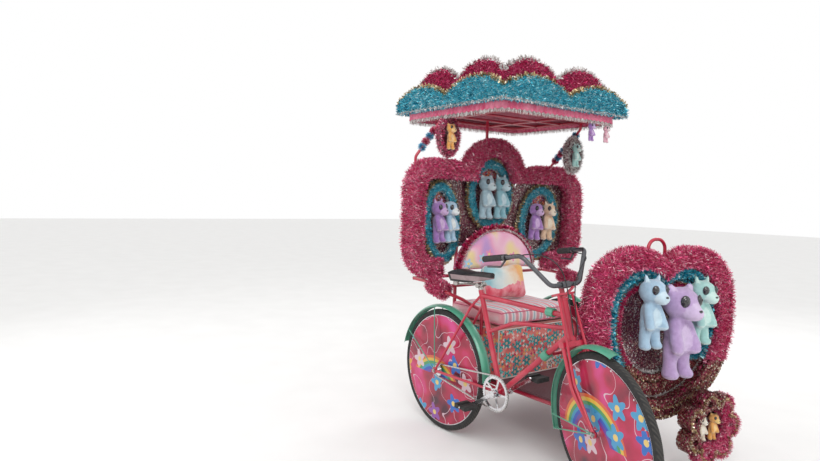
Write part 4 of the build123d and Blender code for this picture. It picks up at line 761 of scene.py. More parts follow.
HEART_TURN = 12.0
HEART = Board(980.0, 569.0, 720.0, HEART_TURN)
FLOWER = Board(*(HEART.origin + HEART.out * 150), HEART_TURN)
FLOWER_MID = (216, -475)
BACK = Board(-245.0, 530.0, 0.0)
RIGHT_WING = Board(-245.0, 278.0, 0.0, -10.0)
LEFT_WING = Board(-245.0, 782.0, 0.0, 10.0)
PLAQUES = [Board(-119.0, 68.0, 1735.0), Board(73.4, 985.0, 1672.0)]
HOOKS = [Board(360.6, 790.0, 1734.0), Board(361.7, 935.0, 1734.0)]


def arc_through(first, middle, last, count):
    """Points on the arc through three points of a plane."""
    (ax, ay), (bx, by), (cx, cy) = first, middle, last
    d = 2 * (ax * (by - cy) + bx * (cy - ay) + cx * (ay - by))
    a, b, c = ax * ax + ay * ay, bx * bx + by * by, cx * cx + cy * cy
    ux = (a * (by - cy) + b * (cy - ay) + c * (ay - by)) / d
    uy = (a * (cx - bx) + b * (ax - cx) + c * (bx - ax)) / d
    radius = math.hypot(ax - ux, ay - uy)
    start, through, end = (math.atan2(y - uy, x - ux) for x, y in (first, middle, last))
    way = 1 if (through - start) % (2 * math.pi) < (end - start) % (2 * math.pi) else -1
    sweep = (end - start) % (2 * math.pi) if way > 0 else -((start - end) % (2 * math.pi))
    turns = [start + sweep * i / count for i in range(count + 1)]
    return [(ux + radius * math.cos(turn), uy + radius * math.sin(turn)) for turn in turns]


def rectangle(low_x, low_y, high_x, high_y):
    return [(low_x, low_y), (high_x, low_y), (high_x, high_y), (low_x, high_y)]


def heart_outline(scale):
    widest = (472, 130)
    half = arc_through((0, 345), (230, 422), widest, 24)[:-1]
    half += arc_through(widest, (370, -255), (0, -440), 24)
    other = [(-u, v) for u, v in half[1:-1]][::-1]
    return [(u * scale, v * scale) for u, v in half + other]


def petal_outline(petal, grow, count=72):
    """A petal's oval edge on its board, grown by a distance."""
    u, v, half_w, half_h, lean = petal
    cos, sin = math.cos(math.radians(lean)), math.sin(math.radians(lean))
    outline = []
    for i in range(count):
        a = 2 * math.pi * i / count
        x, y = (half_w + grow) * math.cos(a), (half_h + grow) * math.sin(a)
        outline.append((u + x * cos - y * sin, v + x * sin + y * cos))
    return outline


def lobed_outline(grow, count=7, ring=130, per=12):
    """The flower's edge: an arc for each lobe, between the points where its neighbours cross it."""
    lobe = 62.0 + grow
    half = math.pi / count
    reach = ring * math.cos(half) + math.sqrt(max(lobe ** 2 - (ring * math.sin(half)) ** 2, 0))
    outline = []
    for i in range(count):
        a = 2 * math.pi * i / count
        ends = [(reach * math.cos(a + s * half), reach * math.sin(a + s * half)) for s in (-1, 1)]
        top = ((ring + lobe) * math.cos(a), (ring + lobe) * math.sin(a))
        outline += arc_through(ends[0], top, ends[1], per)[:-1]
    return [(FLOWER_MID[0] + u, FLOWER_MID[1] + v) for u, v in outline]


RIGHT_PETAL = (-190.0, 1215.0, 175.0, 262.0, 9.0)
LEFT_PETAL = (190.0, 1215.0, 175.0, 262.0, -9.0)
MID_PETAL = (0.0, 1400.0, 205.0, 236.0, 0.0)


# Which points of a surface are kept
def ragged(values, places, edge):
    """Which points lie above an uneven edge."""
    return values + 14 * np.sin(places[:, 0] * 170) * np.sin(places[:, 1] * 210 + places[:, 2] * 130) > edge


def heart_top(places, normals):
    return ragged(HEART.local(places)[:, 1], places, -170)


def heart_foot(places, normals):
    return ~heart_top(places, normals)


def flower_right(places, normals):
    spots = FLOWER.local(places)
    return ragged((spots[:, 0] - FLOWER_MID[0]) - 0.7 * (spots[:, 1] - FLOWER_MID[1]), places, -10)


def flower_left(places, normals):
    return ~flower_right(places, normals)


def in_outline(outline, spots):
    """Which points of a plane are inside a closed outline."""
    u, v = spots[:, 0], spots[:, 1]
    inside = np.zeros(len(spots), bool)
    for (au, av), (bu, bv) in zip(outline, outline[1:] + outline[:1]):
        crosses = (av > v) != (bv > v)
        inside ^= crosses & (u < (bu - au) * (v - av) / (bv - av + 1e-12) + au)
    return inside


def front_of(board, near, far, outline=None):
    """Keeps points on a board's front face, and inside an outline."""
    def keep(places, normals):
        spots = board.local(places)
        kept = (normals @ np.array(board.out) > 0.7) & (spots[:, 2] > near) & (spots[:, 2] < far)
        return kept & in_outline(outline, spots) if outline else kept
    return keep


def heart_band(scale_low, scale_high, above=True):
    """Keeps points between two sizes of the heart's outline, above or below an uneven edge."""
    inner, outer = heart_outline(scale_low), heart_outline(scale_high)

    def keep(places, normals):
        spots = HEART.local(places)
        high = ragged(spots[:, 1], places, -165)
        return in_outline(outer, spots) & ~in_outline(inner, spots) & (high == above)
    return keep


def plaque_rim(board):
    """Keeps points between two ovals on a plaque's front."""
    def keep(places, normals):
        u, v, w = board.local(places).T
        on_ring = (np.hypot(u / 80, v / 118) < 1.05) & (np.hypot(u / 53, v / 91) > 1)
        return on_ring & (w > -1) & (w < 36)
    return keep


# Tinsel rolls on the seat back, the heart, the flower, the arms and the canopy
def roll(name, node, core, colour, count, length, width, seed, shrink=0.005, keep=None):
    """A tinsel roll in place of a CAD node: its tangled core, where one is named, and its strips."""
    if core:
        new_piece(name + "_core", core_of(node, shrink), [FUZZES[core]], node=node)
    places, normals = skin_points(node, count, seed, keep)
    tinsel(name + "_tinsel", places, normals, colour, length, width, seed, 0.9, shrink * 0.6)


def strewn(name, node, count, seed, keep, colour, size):
    places, normals = skin_points(node, count, seed, keep)
    sequins(name, places, normals, colour, size, seed)


def crown_sequins(label, count_seed, sequin_seed, keep, board, foot):
    """Bright sequins on the upper part of a petal."""
    places, normals = skin_points("back_board", 30000, count_seed, keep)
    top = board.local(places)[:, 1] > foot
    sequins("petal_crown_sequins_" + label, places[top], normals[top], "ember", 0.007, sequin_seed,
            lift=0.003)


roll("back_border", "back_border", "pink", "pink", 38000, 0.019, 0.004, 11)
roll("heart_border", "heart_border", "crimson", "pink", 36000, 0.018, 0.0038, 12, keep=heart_top)
roll("flower_border", "flower_border", "crimson", "pink", 19000, 0.014, 0.0027, 13, keep=flower_right)
roll("arm_roll", "arm_rolls", "pink", "pink", 9500, 0.019, 0.0038, 14)
roll("back_band", "back_bands", "teal", "teal", 24000, 0.013, 0.0033, 15, 0.003)
roll("canopy_low", "canopy_tier_low", "teal", "teal", 30000, 0.016, 0.0042, 16, 0.004)
roll("canopy_high", "canopy_tier_high", "crimson", "crimson", 30000, 0.016, 0.0042, 17, 0.004)

# Sequined panels, and the foot of the heart and the flower
strewn("heart_foot_sequins", "heart_border", 26000, 21, heart_foot, "rust", 0.0098)
strewn("flower_left_sequins", "flower_border", 11000, 22, flower_left, "rust", 0.0082)
heart_front = front_of(HEART, 11, 13, heart_outline(0.77))
strewn("heart_board_sequins", "heart_board", 12000, 23, heart_front, "night", 0.008)
strewn("flower_board_sequins", "flower_board", 4500, 24, front_of(FLOWER, 11, 13), "ember", 0.006)
strewn("back_middle_sequins", "back_board", 17000, 25, front_of(BACK, 11, 13), "night", 0.008)
WINGS = (("right", RIGHT_WING, RIGHT_PETAL, 25), ("left", LEFT_WING, LEFT_PETAL, 27))
for label, wing, petal, seed in WINGS:
    wing_front = front_of(wing, 11.5, 12.5)
    crown_front = front_of(wing, 11.5, 12.5, petal_outline(petal, -60))
    strewn("back_wing_sequins_" + label, "back_board", 17000, seed, wing_front, "night", 0.008)
    crown_sequins(label, seed + 4, seed + 7, crown_front, wing, 1290)
crown_sequins("middle", 35, 36, front_of(BACK, 11, 13, petal_outline(MID_PETAL, -60)), BACK, 1470)

# The heart's bands: teal outside, crimson inside, sequins below
outer_band, inner_band = heart_band(0.585, 0.775), heart_band(0.5, 0.584)
roll("heart_band", "heart_bands", "crimson", "teal", 42000, 0.017, 0.004, 18, 0.003, outer_band)
roll("heart_inner", "heart_bands", None, "crimson", 42000, 0.012, 0.0024, 19, 0.003, inner_band)
strewn("heart_low_band_sequins", "heart_bands", 20000, 20, heart_band(0.5, 0.775, False), "rust", 0.0096)

# A fat teal roll inside the upper part of the pink one
HEART_CHANGE = -150
upper = [(u, v) for u, v in heart_outline(0.7) if v > HEART_CHANGE]
arch_line = HEART.line([p for p in upper if p[0] < 0] + [p for p in upper if p[0] >= 0], 60)
new_piece("heart_teal_core", tube_mesh([arch_line], 0.016, sides=3), [FUZZES["teal"]])
braid("heart_teal_roll", [arch_line], "teal", 0.03, 40, False, 6.0)

# Silver and gold braids along the edges
heart_edges = [HEART.line(heart_outline(0.775), 46), HEART.line(heart_outline(0.505), 24)]
braid("heart_silver_braid", heart_edges, "silver", 0.014, 41)
braid("heart_gold_braid", [HEART.line(heart_outline(0.585), 43)], "gold", 0.013, 42)
foot = [(u, v) for u, v in heart_outline(0.975) if v < HEART_CHANGE]
foot_edges = [HEART.line(foot, 104), HEART.line([(u * 0.9, v * 0.9) for u, v in foot], 104)]
braid("heart_foot_braid", foot_edges, "gold", 0.011, 43, False)
braid("flower_silver_braid", [FLOWER.line(lobed_outline(-49), 32)], "silver", 0.012, 44)
braid("flower_gold_braid", [FLOWER.line(lobed_outline(-24), 78)], "gold", 0.012, 45)
PETAL_EDGES = (("right", RIGHT_WING, RIGHT_PETAL, 45, 48), ("left", LEFT_WING, LEFT_PETAL, 47, 50),
               ("middle", BACK, MID_PETAL, 51, 52))
for label, board, petal, gold_seed, silver_seed in PETAL_EDGES:
    outer_edge, inner_edge = (board.line(petal_outline(petal, grow), w) for grow, w in ((-5, 34), (-64, 28)))
    braid("petal_gold_braid_" + label, [outer_edge], "gold", 0.017, gold_seed)
    braid("petal_silver_braid_" + label, [inner_edge], "silver", 0.013, silver_seed)

# The canopy's middle and half sizes along the bicycle and across it
ROOF_X, ROOF_Y = -45.0, 522.0
ROOF_HALF_X, ROOF_HALF_Y = 458.0, 512.0


def on_roof(x, y, z):
    return at(ROOF_X + x, ROOF_Y + y, z)


def scallop_lines(inset, foot_z, low, high):
    """The scalloped tops of the four sides of a tier, in world points."""
    half_x, half_y, drop = ROOF_HALF_X - inset, ROOF_HALF_Y - inset, 13.0
    lines = []
    for half, other, turned in ((half_x, half_y, False), (half_y, half_x, True)):
        outline = arc_through((-half, low), (-half / 2, high), (0, low), 16)
        outline += arc_through((0, low), (half / 2, high), (half, low), 16)[1:]
        for side in (-1, 1):
            level = side * (other - drop)
            spots = [((level, s) if turned else (s, level), foot_z + v) for s, v in outline]
            lines.append([on_roof(x, y, z) for (x, y), z in spots])
    return lines


braid("canopy_low_braid", scallop_lines(-26.3, 1910, 55, 135), "gold", 0.021, 53, False)
braid("canopy_high_braid", scallop_lines(70, 1959, 110, 200), "silver", 0.022, 54, False)
FOOT_X, FOOT_Y = 484, 538
foot_ring = [on_roof(x, y, 1901) for x, y in rectangle(-FOOT_X, -FOOT_Y, FOOT_X, FOOT_Y)]
braid("canopy_foot_braid", [foot_ring], "silver", 0.012, 55)

# Pompoms on the struts, in turn blue and pink
STRUT_RUNS = [(at(-185.8, -110, 1610), at(-130, 40, 1842)), (at(-198.2, 1100, 1610), at(130, 1004, 1842))]
POMPOM_STEP, POMPOM_STRIPS = 0.04, 520
places, outs, kinds = [], [], []
for run, (foot, head) in enumerate(STRUT_RUNS):
    length = (head - foot).length
    for i in range(int((length - 0.09) / POMPOM_STEP)):
        middle = foot.lerp(head, (0.05 + POMPOM_STEP * (i + 0.5)) / length)
        random = np.random.default_rng(60 + 20 * run + i)
        ball = unit(random.normal(size=(POMPOM_STRIPS, 3)))
        places.append(np.array(middle) + ball * 0.006)
        outs.append(ball)
        kinds += [(i + run) % 2] * POMPOM_STRIPS
places, outs, kinds = np.vstack(places), np.vstack(outs), np.array(kinds)
for kind, colour in enumerate(("blue", "pink")):
    chosen = kinds == kind
    tinsel(colour + "_pompoms", places[chosen], outs[chosen], colour, 0.021, 0.0035, 70 + kind,
           0.25, node="strut_garlands")

# Plaques on the struts: a tinsel ring round a sequined oval
new_piece("plaque_boards", core_of("strut_plaques", 0.002), [DARK_BOARD], node="strut_plaques")
for spot, (board, colour) in enumerate(zip(PLAQUES, ("pink", "silver"))):
    places, normals = skin_points("strut_plaques", 9000, 80 + spot, plaque_rim(board))
    tinsel(f"plaque_{colour}_ring", places, normals, colour, 0.014, 0.0028, 82 + spot, 0.9)


# Soft toys: stuffed animals of short plush
def blob(shape, place, size, turn=0.0):
    matrix = Matrix.Translation(place) @ Matrix.Rotation(turn, 4, "Z") @ Matrix.Diagonal((*size, 1))
    bmesh.ops.create_uvsphere(shape, u_segments=16, v_segments=10, radius=1.0, matrix=matrix)


def limb(shape, start, end, first, last):
    start, end = Vector(start), Vector(end)
    way = end - start
    matrix = Matrix.Translation((start + end) / 2) @ way.to_track_quat("Z", "Y").to_matrix().to_4x4()
    bmesh.ops.create_cone(shape, cap_ends=True, segments=16, radius1=first, radius2=last, depth=way.length,
                          matrix=matrix)
    blob(shape, start, (first,) * 3)
    blob(shape, end, (last,) * 3)


def toy_body(ears):
    """A sitting-up animal one high, its feet at the origin and its back to the board."""
    shape = bmesh.new()
    blob(shape, (0, 0.775, 0.19), (0.182, 0.168, 0.178))
    blob(shape, (0, 0.7, 0.345), (0.1, 0.085, 0.105))
    blob(shape, (0, 0.47, 0.155), (0.125, 0.2, 0.125))
    blob(shape, (0, 0.34, 0.155), (0.14, 0.11, 0.13))
    for side in (-1, 1):
        if ears == "round":
            blob(shape, (side * 0.13, 0.915, 0.17), (0.058, 0.06, 0.03))
        elif ears == "pointed":
            blob(shape, (side * 0.105, 0.94, 0.17), (0.036, 0.075, 0.026), -side * 0.25)
        else:
            blob(shape, (side * 0.168, 0.77, 0.19), (0.03, 0.125, 0.055), side * 0.1)
        limb(shape, (side * 0.085, 0.56, 0.2), (side * 0.118, 0.33, 0.29), 0.058, 0.064)
        limb(shape, (side * 0.07, 0.33, 0.16), (side * 0.095, 0.07, 0.17), 0.078, 0.07)
        blob(shape, (side * 0.098, 0.055, 0.19), (0.08, 0.056, 0.095))
    return shaped(mesh_of(shape), [("REMESH", {"mode": "VOXEL", "voxel_size": 0.021}),
                                   ("SMOOTH", {"factor": 0.5, "iterations": 7})])


# The balls of an eye: size, how far it stands out, rise and which of the face's finishes it has. The last,
# small white ball is a painted highlight.
EYE_BALLS = [(0.056, 0.0, 0.0, 1), (0.038, 0.012, 0.0, 0), (0.012, 0.027, 0.012, 2)]


def toy_face():
    """Two eyes and a nose, each ball with its own finish; a small white ball on each eye is a painted
    highlight.
    """
    eyes = bmesh.new()
    for side in (-1, 1):
        turn = Matrix.Rotation(side * 0.5, 4, "Y")
        for size, push, rise, tone in EYE_BALLS:
            spot = Matrix.Translation((side * (0.094 + push * 0.5), 0.812 + rise, 0.33 + push))
            ball = bmesh.ops.create_uvsphere(eyes, u_segments=12, v_segments=7, radius=size,
                                             matrix=spot @ turn @ Matrix.Diagonal((0.85, 1.15, 0.42, 1)))
            for face in {face for vert in ball["verts"] for face in vert.link_faces}:
                face.material_index = tone
    blob(eyes, (0, 0.728, 0.435), (0.024, 0.015, 0.013))
    return mesh_of(eyes)


def soft_toy(name, placing, height, colour, belly, ears, node):
    """A stuffed animal and its face, sized and put in place."""
    mesh = toy_body(ears)
    spots = points_of(mesh)
    u, v, w = spots.T
    snout = (u / 0.1) ** 2 + ((v - 0.695) / 0.085) ** 2 + ((w - 0.38) / 0.1) ** 2
    muzzle = 1.5 - np.sqrt(snout) > 0.35
    front = (w > 0.2) & (np.hypot(u / 0.07, (v - 0.44) / 0.12) < 1)
    paws = (v < 0.04) | ((w > 0.27) & (v < 0.32) & (v > 0.2))
    inner = (w > 0.185) & (v > 0.9) & (np.abs(np.abs(u) - 0.12) < 0.03)
    mark_points(mesh, "patch", (muzzle | front | paws | inner).astype(float))
    # Seams down the middle and round the joints, and a slight unevenness of the stuffing
    random = np.random.default_rng(int(height * 1000))
    facing = np.empty(len(mesh.vertices) * 3)
    mesh.vertex_normals.foreach_get("vector", facing)
    seam = 0.007 * np.exp(-(u / 0.008) ** 2) + 0.006 * np.exp(-((v - 0.345) / 0.01) ** 2)
    uneven = 0.004 * np.sin(u * 34 + random.random() * 6) * np.sin(v * 27) * np.sin(w * 31 + 1)
    move_points(mesh, (spots + facing.reshape(-1, 3) * (uneven - seam)[:, None]) * height)
    mesh.transform(placing)
    toy = new_piece(name, mesh, [plush(name + "_pile", colour, belly)], node=node)
    face = toy_face()
    face.transform(placing @ Matrix.Scale(height, 4))
    new_piece(name + "_face", face, [BEAD, FELT, PAINTED_GLINT])


LILAC, MINT, SKY = (0.5, 0.33, 0.62), (0.36, 0.66, 0.62), (0.38, 0.58, 0.75)
GREY_BLUE, PURPLE, CREAM = (0.33, 0.5, 0.58), (0.35, 0.16, 0.5), (0.82, 0.72, 0.56)
ORANGE, DEEP_TEAL, TAN = (0.82, 0.38, 0.06), (0.24, 0.5, 0.58), (0.72, 0.5, 0.32)
ROSE, PALE_VIOLET = (0.78, 0.4, 0.5), (0.62, 0.42, 0.72)
# Each toy's name, board, distance out, across and up, height, lean, two colours and ears
TOYS = [
    ("heart_toy_sky", HEART, 46.6, -120, -75, 375, 0, SKY, (0.6, 0.78, 0.88), "pointed"),
    ("heart_toy_lilac", HEART, 32.6, 60, -235, 500, 0, LILAC, (0.66, 0.5, 0.76), "round"),
    ("heart_toy_mint", HEART, 46.6, 222, -78, 360, 0, MINT, (0.6, 0.84, 0.78), "pointed"),
    ("flower_toy_cream", FLOWER, 12.3, 178, -550, 150, 4, CREAM, (0.92, 0.86, 0.74), "round"),
    ("flower_toy_orange", FLOWER, 12.3, 253, -550, 146, -4, ORANGE, (0.92, 0.62, 0.2), "round"),
    ("back_toy_purple", RIGHT_WING, 17.7, -243, 1090, 275, 4, PURPLE, (0.6, 0.4, 0.68), "pointed"),
    ("back_toy_pale", RIGHT_WING, 16.5, -137, 1090, 275, 4, SKY, (0.78, 0.84, 0.84), "hanging"),
    ("back_toy_blue", BACK, 14.5, -65, 1235, 300, 0, GREY_BLUE, (0.55, 0.7, 0.74), "round"),
    ("back_toy_teal", BACK, 14.5, 65, 1235, 300, 0, DEEP_TEAL, (0.5, 0.68, 0.74), "pointed"),
    ("back_toy_violet", LEFT_WING, 16.5, 137, 1090, 275, -4, PURPLE, PALE_VIOLET, "hanging"),
    ("back_toy_cream", LEFT_WING, 17.7, 243, 1090, 275, -4, TAN, CREAM, "pointed"),
    ("plaque_toy_orange", PLAQUES[0], 12.3, 0, -80, 164, 0, ORANGE, (0.9, 0.6, 0.25), "round"),
    ("plaque_toy_mint", PLAQUES[1], 12.3, 0, -80, 164, 0, MINT, (0.68, 0.86, 0.8), "pointed"),
    ("hanging_toy_violet", HOOKS[0], 0, 0, 0, 118, 0, PURPLE, PALE_VIOLET, "round"),
    ("hanging_toy_rose", HOOKS[1], 0, 0, 0, 112, 0, ROSE, (0.88, 0.72, 0.74), "pointed"),
]
for name, board, step, u, v, height, lean, colour, belly, ears in TOYS:
    spot = name.split("_")[0]
    node = None if spot == "hanging" else spot + "_plush"
    soft_toy(name, board.matrix(u, v, step, lean), height / 1000, colour, belly, ears, node)

# The strings of the hanging toys, from the crown of the head up to the canopy's rim
STRING = 0.0024
STRING_TOP = 143.9
for board, height, label in ((HOOKS[0], 118, "violet"), (HOOKS[1], 112, "rose")):
    path = [tuple(board.point(0, v, 0.19 * height)) for v in (height * 0.93, 120.0, 132.0, STRING_TOP)]
    string = new_piece(label + "_toy_string", tube_mesh([path], STRING / 2), [STRING_CLOTH])


# Cushions, blown up from a slightly smaller copy of their solids
def stuffed(name, node, voxel, shrink, cap, finish):
    """A padded piece: remeshed, inflated as cloth with a cap on its swelling, then subdivided once."""
    mesh = shaped(core_of(node, shrink), [("REMESH", {"mode": "VOXEL", "voxel_size": voxel}),
                                          ("SMOOTH", {"factor": 0.5, "iterations": 4})])
    helper = link(bpy.data.objects.new("helper", mesh))
    cloth = helper.modifiers.new("Cloth", "CLOTH")
    frames = 20
    cloth.settings.quality = 4
    cloth.settings.use_pressure = True
    cloth.settings.uniform_pressure_force = 4.0
    cloth.settings.effector_weights.gravity = 0.0
    cloth.point_cache.frame_start = 1
    cloth.point_cache.frame_end = frames
    for step in range(1, frames + 1):
        SCENE.frame_set(step)
    rest = points_of(mesh)
    moved = points_of(taken(helper)) - rest
    moved *= np.minimum(1, cap / np.maximum(np.linalg.norm(moved, axis=1), 1e-9))[:, None]
    SCENE.frame_set(1)
    move_points(mesh, rest + moved)
    mesh = shaped(mesh, [("SMOOTH", {"factor": 0.5, "iterations": 2}),
                         ("SUBSURF", {"levels": 1, "render_levels": 1})])
    cushion = new_piece(name, mesh, [finish], node=node)
    return cushion


PASTEL = [(0.3, (0.55, 0.32, 0.66)), (0.42, (0.85, 0.38, 0.58)), (0.52, (0.9, 0.56, 0.68)),
          (0.62, (0.88, 0.7, 0.34)), (0.75, (0.85, 0.76, 0.7))]
SEAT = [(0.0, (0.75, 0.3, 0.36)), (0.35, (0.8, 0.42, 0.46)), (0.5, (0.85, 0.74, 0.74)),
        (0.8, (0.86, 0.78, 0.78)), (1.0, (0.36, 0.5, 0.58))]
seat = stuffed("seat_pad", "seat_cushion", 0.0125, 0.006, 0.011,
               striped_cloth("seat_stripes", SEAT, 0.06, "Y"))
pad = stuffed("back_pad", "back_cushion", 0.0105, 0.006, 0.014, printed_satin("pastel_satin", PASTEL, 5.0))
loose = stuffed("rainbow_pillow", "pillow", 0.009, 0.007, 0.016,
                flame_satin("rainbow_satin", at(0, 330, 721), at(0, 680, 957)))


# Piping sewn into the cushions' edges, and the fringe round the arched one
def piped(name, cushion, lines, finish, radius):
    """Round piping laid on a cushion's own surface along closed lines."""
    shape = bmesh.new()
    shape.from_mesh(cushion.data)
    skin = BVHTree.FromBMesh(shape)
    shape.free()
    rows = []
    for line in lines:
        row = []
        for place in along([line], 0.008, True)[0]:
            spot, facing = skin.find_nearest(Vector(place))[:2]
            row.append(np.array(spot + facing * radius * 0.5))
        row = np.array(row)
        for turn in range(3):
            row = (np.roll(row, 1, axis=0) + 2 * row + np.roll(row, -1, axis=0)) / 4
        rows.append(row)
    new_piece(name, tube_mesh(rows, radius, closed=True), [finish])


seat_rings = [[at(x, y, z) for x, y in rectangle(-215, 200, 264, 860)] for z in (623, 720)]
piped("seat_piping", seat, seat_rings, ROSE_PIPING, 0.003)
ARCH_FOOT = 905
arch_turns = [math.pi * i / 48 for i in range(49)]
ARCH = [(330 * math.cos(turn), ARCH_FOOT + 276.6 * math.sin(turn)) for turn in arch_turns]
piped("back_pad_piping", pad, [BACK.line(ARCH, w) for w in (46, 140)], ROSE_PIPING, 0.003)
PILLOW_TURN = Matrix.Translation(at(-33.4, 505, 838.8)) @ Matrix.Rotation(math.radians(-14), 4, "Y")
pillow_ring = [PILLOW_TURN @ Vector((0, y, z)) for y, z in rectangle(-0.178, -0.12, 0.178, 0.12)]
piped("pillow_piping", loose, [pillow_ring], PALE_PIPING, 0.0028)


def arch_line_of(share_u, share_v, w):
    """The arched cushion's edge, grown or shrunk about its foot."""
    return [BACK.line([(u * share_u, ARCH_FOOT + (v - ARCH_FOOT) * share_v) for u, v in ARCH], w)]


braid("back_pad_fringe", arch_line_of(1.012, 1.014, 118), "crimson", 0.024, 95, False, 1.6)
braid("back_pad_sparkle", arch_line_of(0.965, 0.965, 146), "silver", 0.009, 96, False)

# Canopy cloths
SHARP = 12.0
RIM_Z = 1898


def roof_outline(inset, count=400):
    """The roof's rounded edge, drawn in by a distance, as x and y about the roof's middle."""
    outline = []
    for i in range(count):
        a = 2 * math.pi * i / count
        c, s = math.cos(a), math.sin(a)
        size = (abs(c) ** SHARP + abs(s) ** SHARP) ** (-1 / SHARP)
        outline.append(((ROOF_HALF_X - inset) * size * c, (ROOF_HALF_Y - inset) * size * s))
    return outline


def canopy_cloth():
    """The roof: one curved sheet pulled over the hoops, sagging a little between the ribs."""
    shape = bmesh.new()
    bmesh.ops.create_grid(shape, x_segments=64, y_segments=64, size=1.0)
    for vert in shape.verts:
        s, t = vert.co.x, vert.co.y
        edge = max(abs(s), abs(t))
        size = edge / max((abs(s) ** SHARP + abs(t) ** SHARP) ** (1 / SHARP), 1e-9)
        rise = min(max((1 - edge) / 0.4, 0.0), 1.0) - 0.06 * math.exp(-((edge - 0.6) / 0.09) ** 2)
        sag = 4.0 * math.sin(math.pi * (s + 1) * 2) ** 2 * math.sin(math.pi * (t + 1) * 2) ** 2 * (1 - edge)
        pucker = 1.4 * math.sin(40 * (s + t)) * math.sin(37 * (s - t)) * (0.3 + edge)
        vert.co = on_roof((ROOF_HALF_X - 2) * s * size, (ROOF_HALF_Y - 2) * t * size,
                          RIM_Z + 2.5 + 93 * rise - sag + pucker)
    top = shaped(mesh_of(shape), [("SOLIDIFY", {"thickness": 0.003, "offset": -1.0, "material_offset": 1})])
    roof = new_piece("canopy_cloth", top, [ROOF_TOP, ROOF_LINING], node="canopy_roof")


def follow(ring, marks, stop):
    """The point of a closed ring at a distance along it."""
    return np.interp(stop, marks, ring[:, 0]), np.interp(stop, marks, ring[:, 1])


def valance(deep=42, pleats=96, swing=5.0):
    """A gathered strip of cloth hung inside the rim, in soft pleats that open towards its hem."""
    outline = roof_outline(11)
    ring = np.array(outline + outline[:1])
    marks = marked(ring)[2]
    shape = bmesh.new()
    bmesh.ops.create_grid(shape, x_segments=pleats * 6, y_segments=5, size=0.5)
    for vert in shape.verts:
        share, down = vert.co.x + 0.5, 0.5 - vert.co.y
        x, y = follow(ring, marks, share * marks[-1])
        fold = math.sin(2 * math.pi * pleats * share + 0.8 * math.sin(9 * share))
        reach = 1 - swing * (0.35 + 0.65 * down) * fold / 500
        hem = 2.5 * math.sin(2 * math.pi * pleats * share + 1.0) * down
        vert.co = on_roof(x * reach, y * reach, RIM_Z - deep * down + hem)
    bmesh.ops.remove_doubles(shape, verts=shape.verts, dist=0.0001)
    area = sum(face.calc_area() for face in shape.faces)
    mesh = shaped(mesh_of(shape), [("SOLIDIFY", {"thickness": 0.0012, "offset": 0.0})])
    strip = new_piece("valance_cloth", mesh, [VALANCE_CLOTH], node="canopy_valance")
    area / (deep / 1000)


canopy_cloth()
valance()
FRINGE_Z = 1860
places, ways = along([[on_roof(x, y, FRINGE_Z) for x, y in roof_outline(12)]], STRIP_STEP, True)
down = np.tile((0.0, 0.0, -1.0), (len(places), 1))
tinsel("valance_fringe", places, down, "silver", 0.024, 0.0025, 91, 0.35)


# The seat box's cloth cover, on its own map in metres
def box_cover():
    corners = rectangle(-216.2, 198.8, 251.2, 861.2)
    mid_x, mid_y, half_x, half_y = 17.5, 530.0, 233.7, 331.2
    ring = np.array(corners + corners[:1], float)
    marks = marked(ring)[2]
    low_z, high_z = 319.0, 613.0
    shape = bmesh.new()
    bmesh.ops.create_grid(shape, x_segments=226, y_segments=12, size=0.5, calc_uvs=True)
    layer = shape.loops.layers.uv.active or shape.loops.layers.uv.new("map")
    for face in shape.faces:
        for loop in face.loops:
            place = loop.vert.co
            loop[layer].uv = ((place.x + 0.5) * marks[-1] / 1000, (place.y + 0.5) * (high_z - low_z) / 1000)
    for vert in shape.verts:
        stop, share = (vert.co.x + 0.5) * marks[-1], vert.co.y + 0.5
        x, y = follow(ring, marks, stop)
        pull = 0.9 * math.sin(stop / 9.0 + 4 * share) * (abs(share - 0.5) * 2) ** 2
        pull += 0.5 * math.sin(stop / 31.0 + 9 * share)
        if abs(x - mid_x) / half_x > abs(y - mid_y) / half_y:
            x += pull if x > mid_x else -pull
        else:
            y += pull if y > mid_y else -pull
        vert.co = at(x, y, low_z + share * (high_z - low_z))
    cover = new_piece("box_cover", mesh_of(shape), [floral_cloth("floral_cloth_print")])


box_cover()
BOX_RING = rectangle(-218, 197, 253, 863)
rows = [[at(x, y, z) for x, y in BOX_RING] for z in (322.5, 610.0)]
new_piece("box_piping", tube_mesh(rows, 0.004, closed=True), [PALE_PIPING])
uprights = [[at(x, y, 322), at(x, y, 610)] for x, y in BOX_RING]
new_piece("box_corner_piping", tube_mesh(uprights, 0.004), [PALE_PIPING])


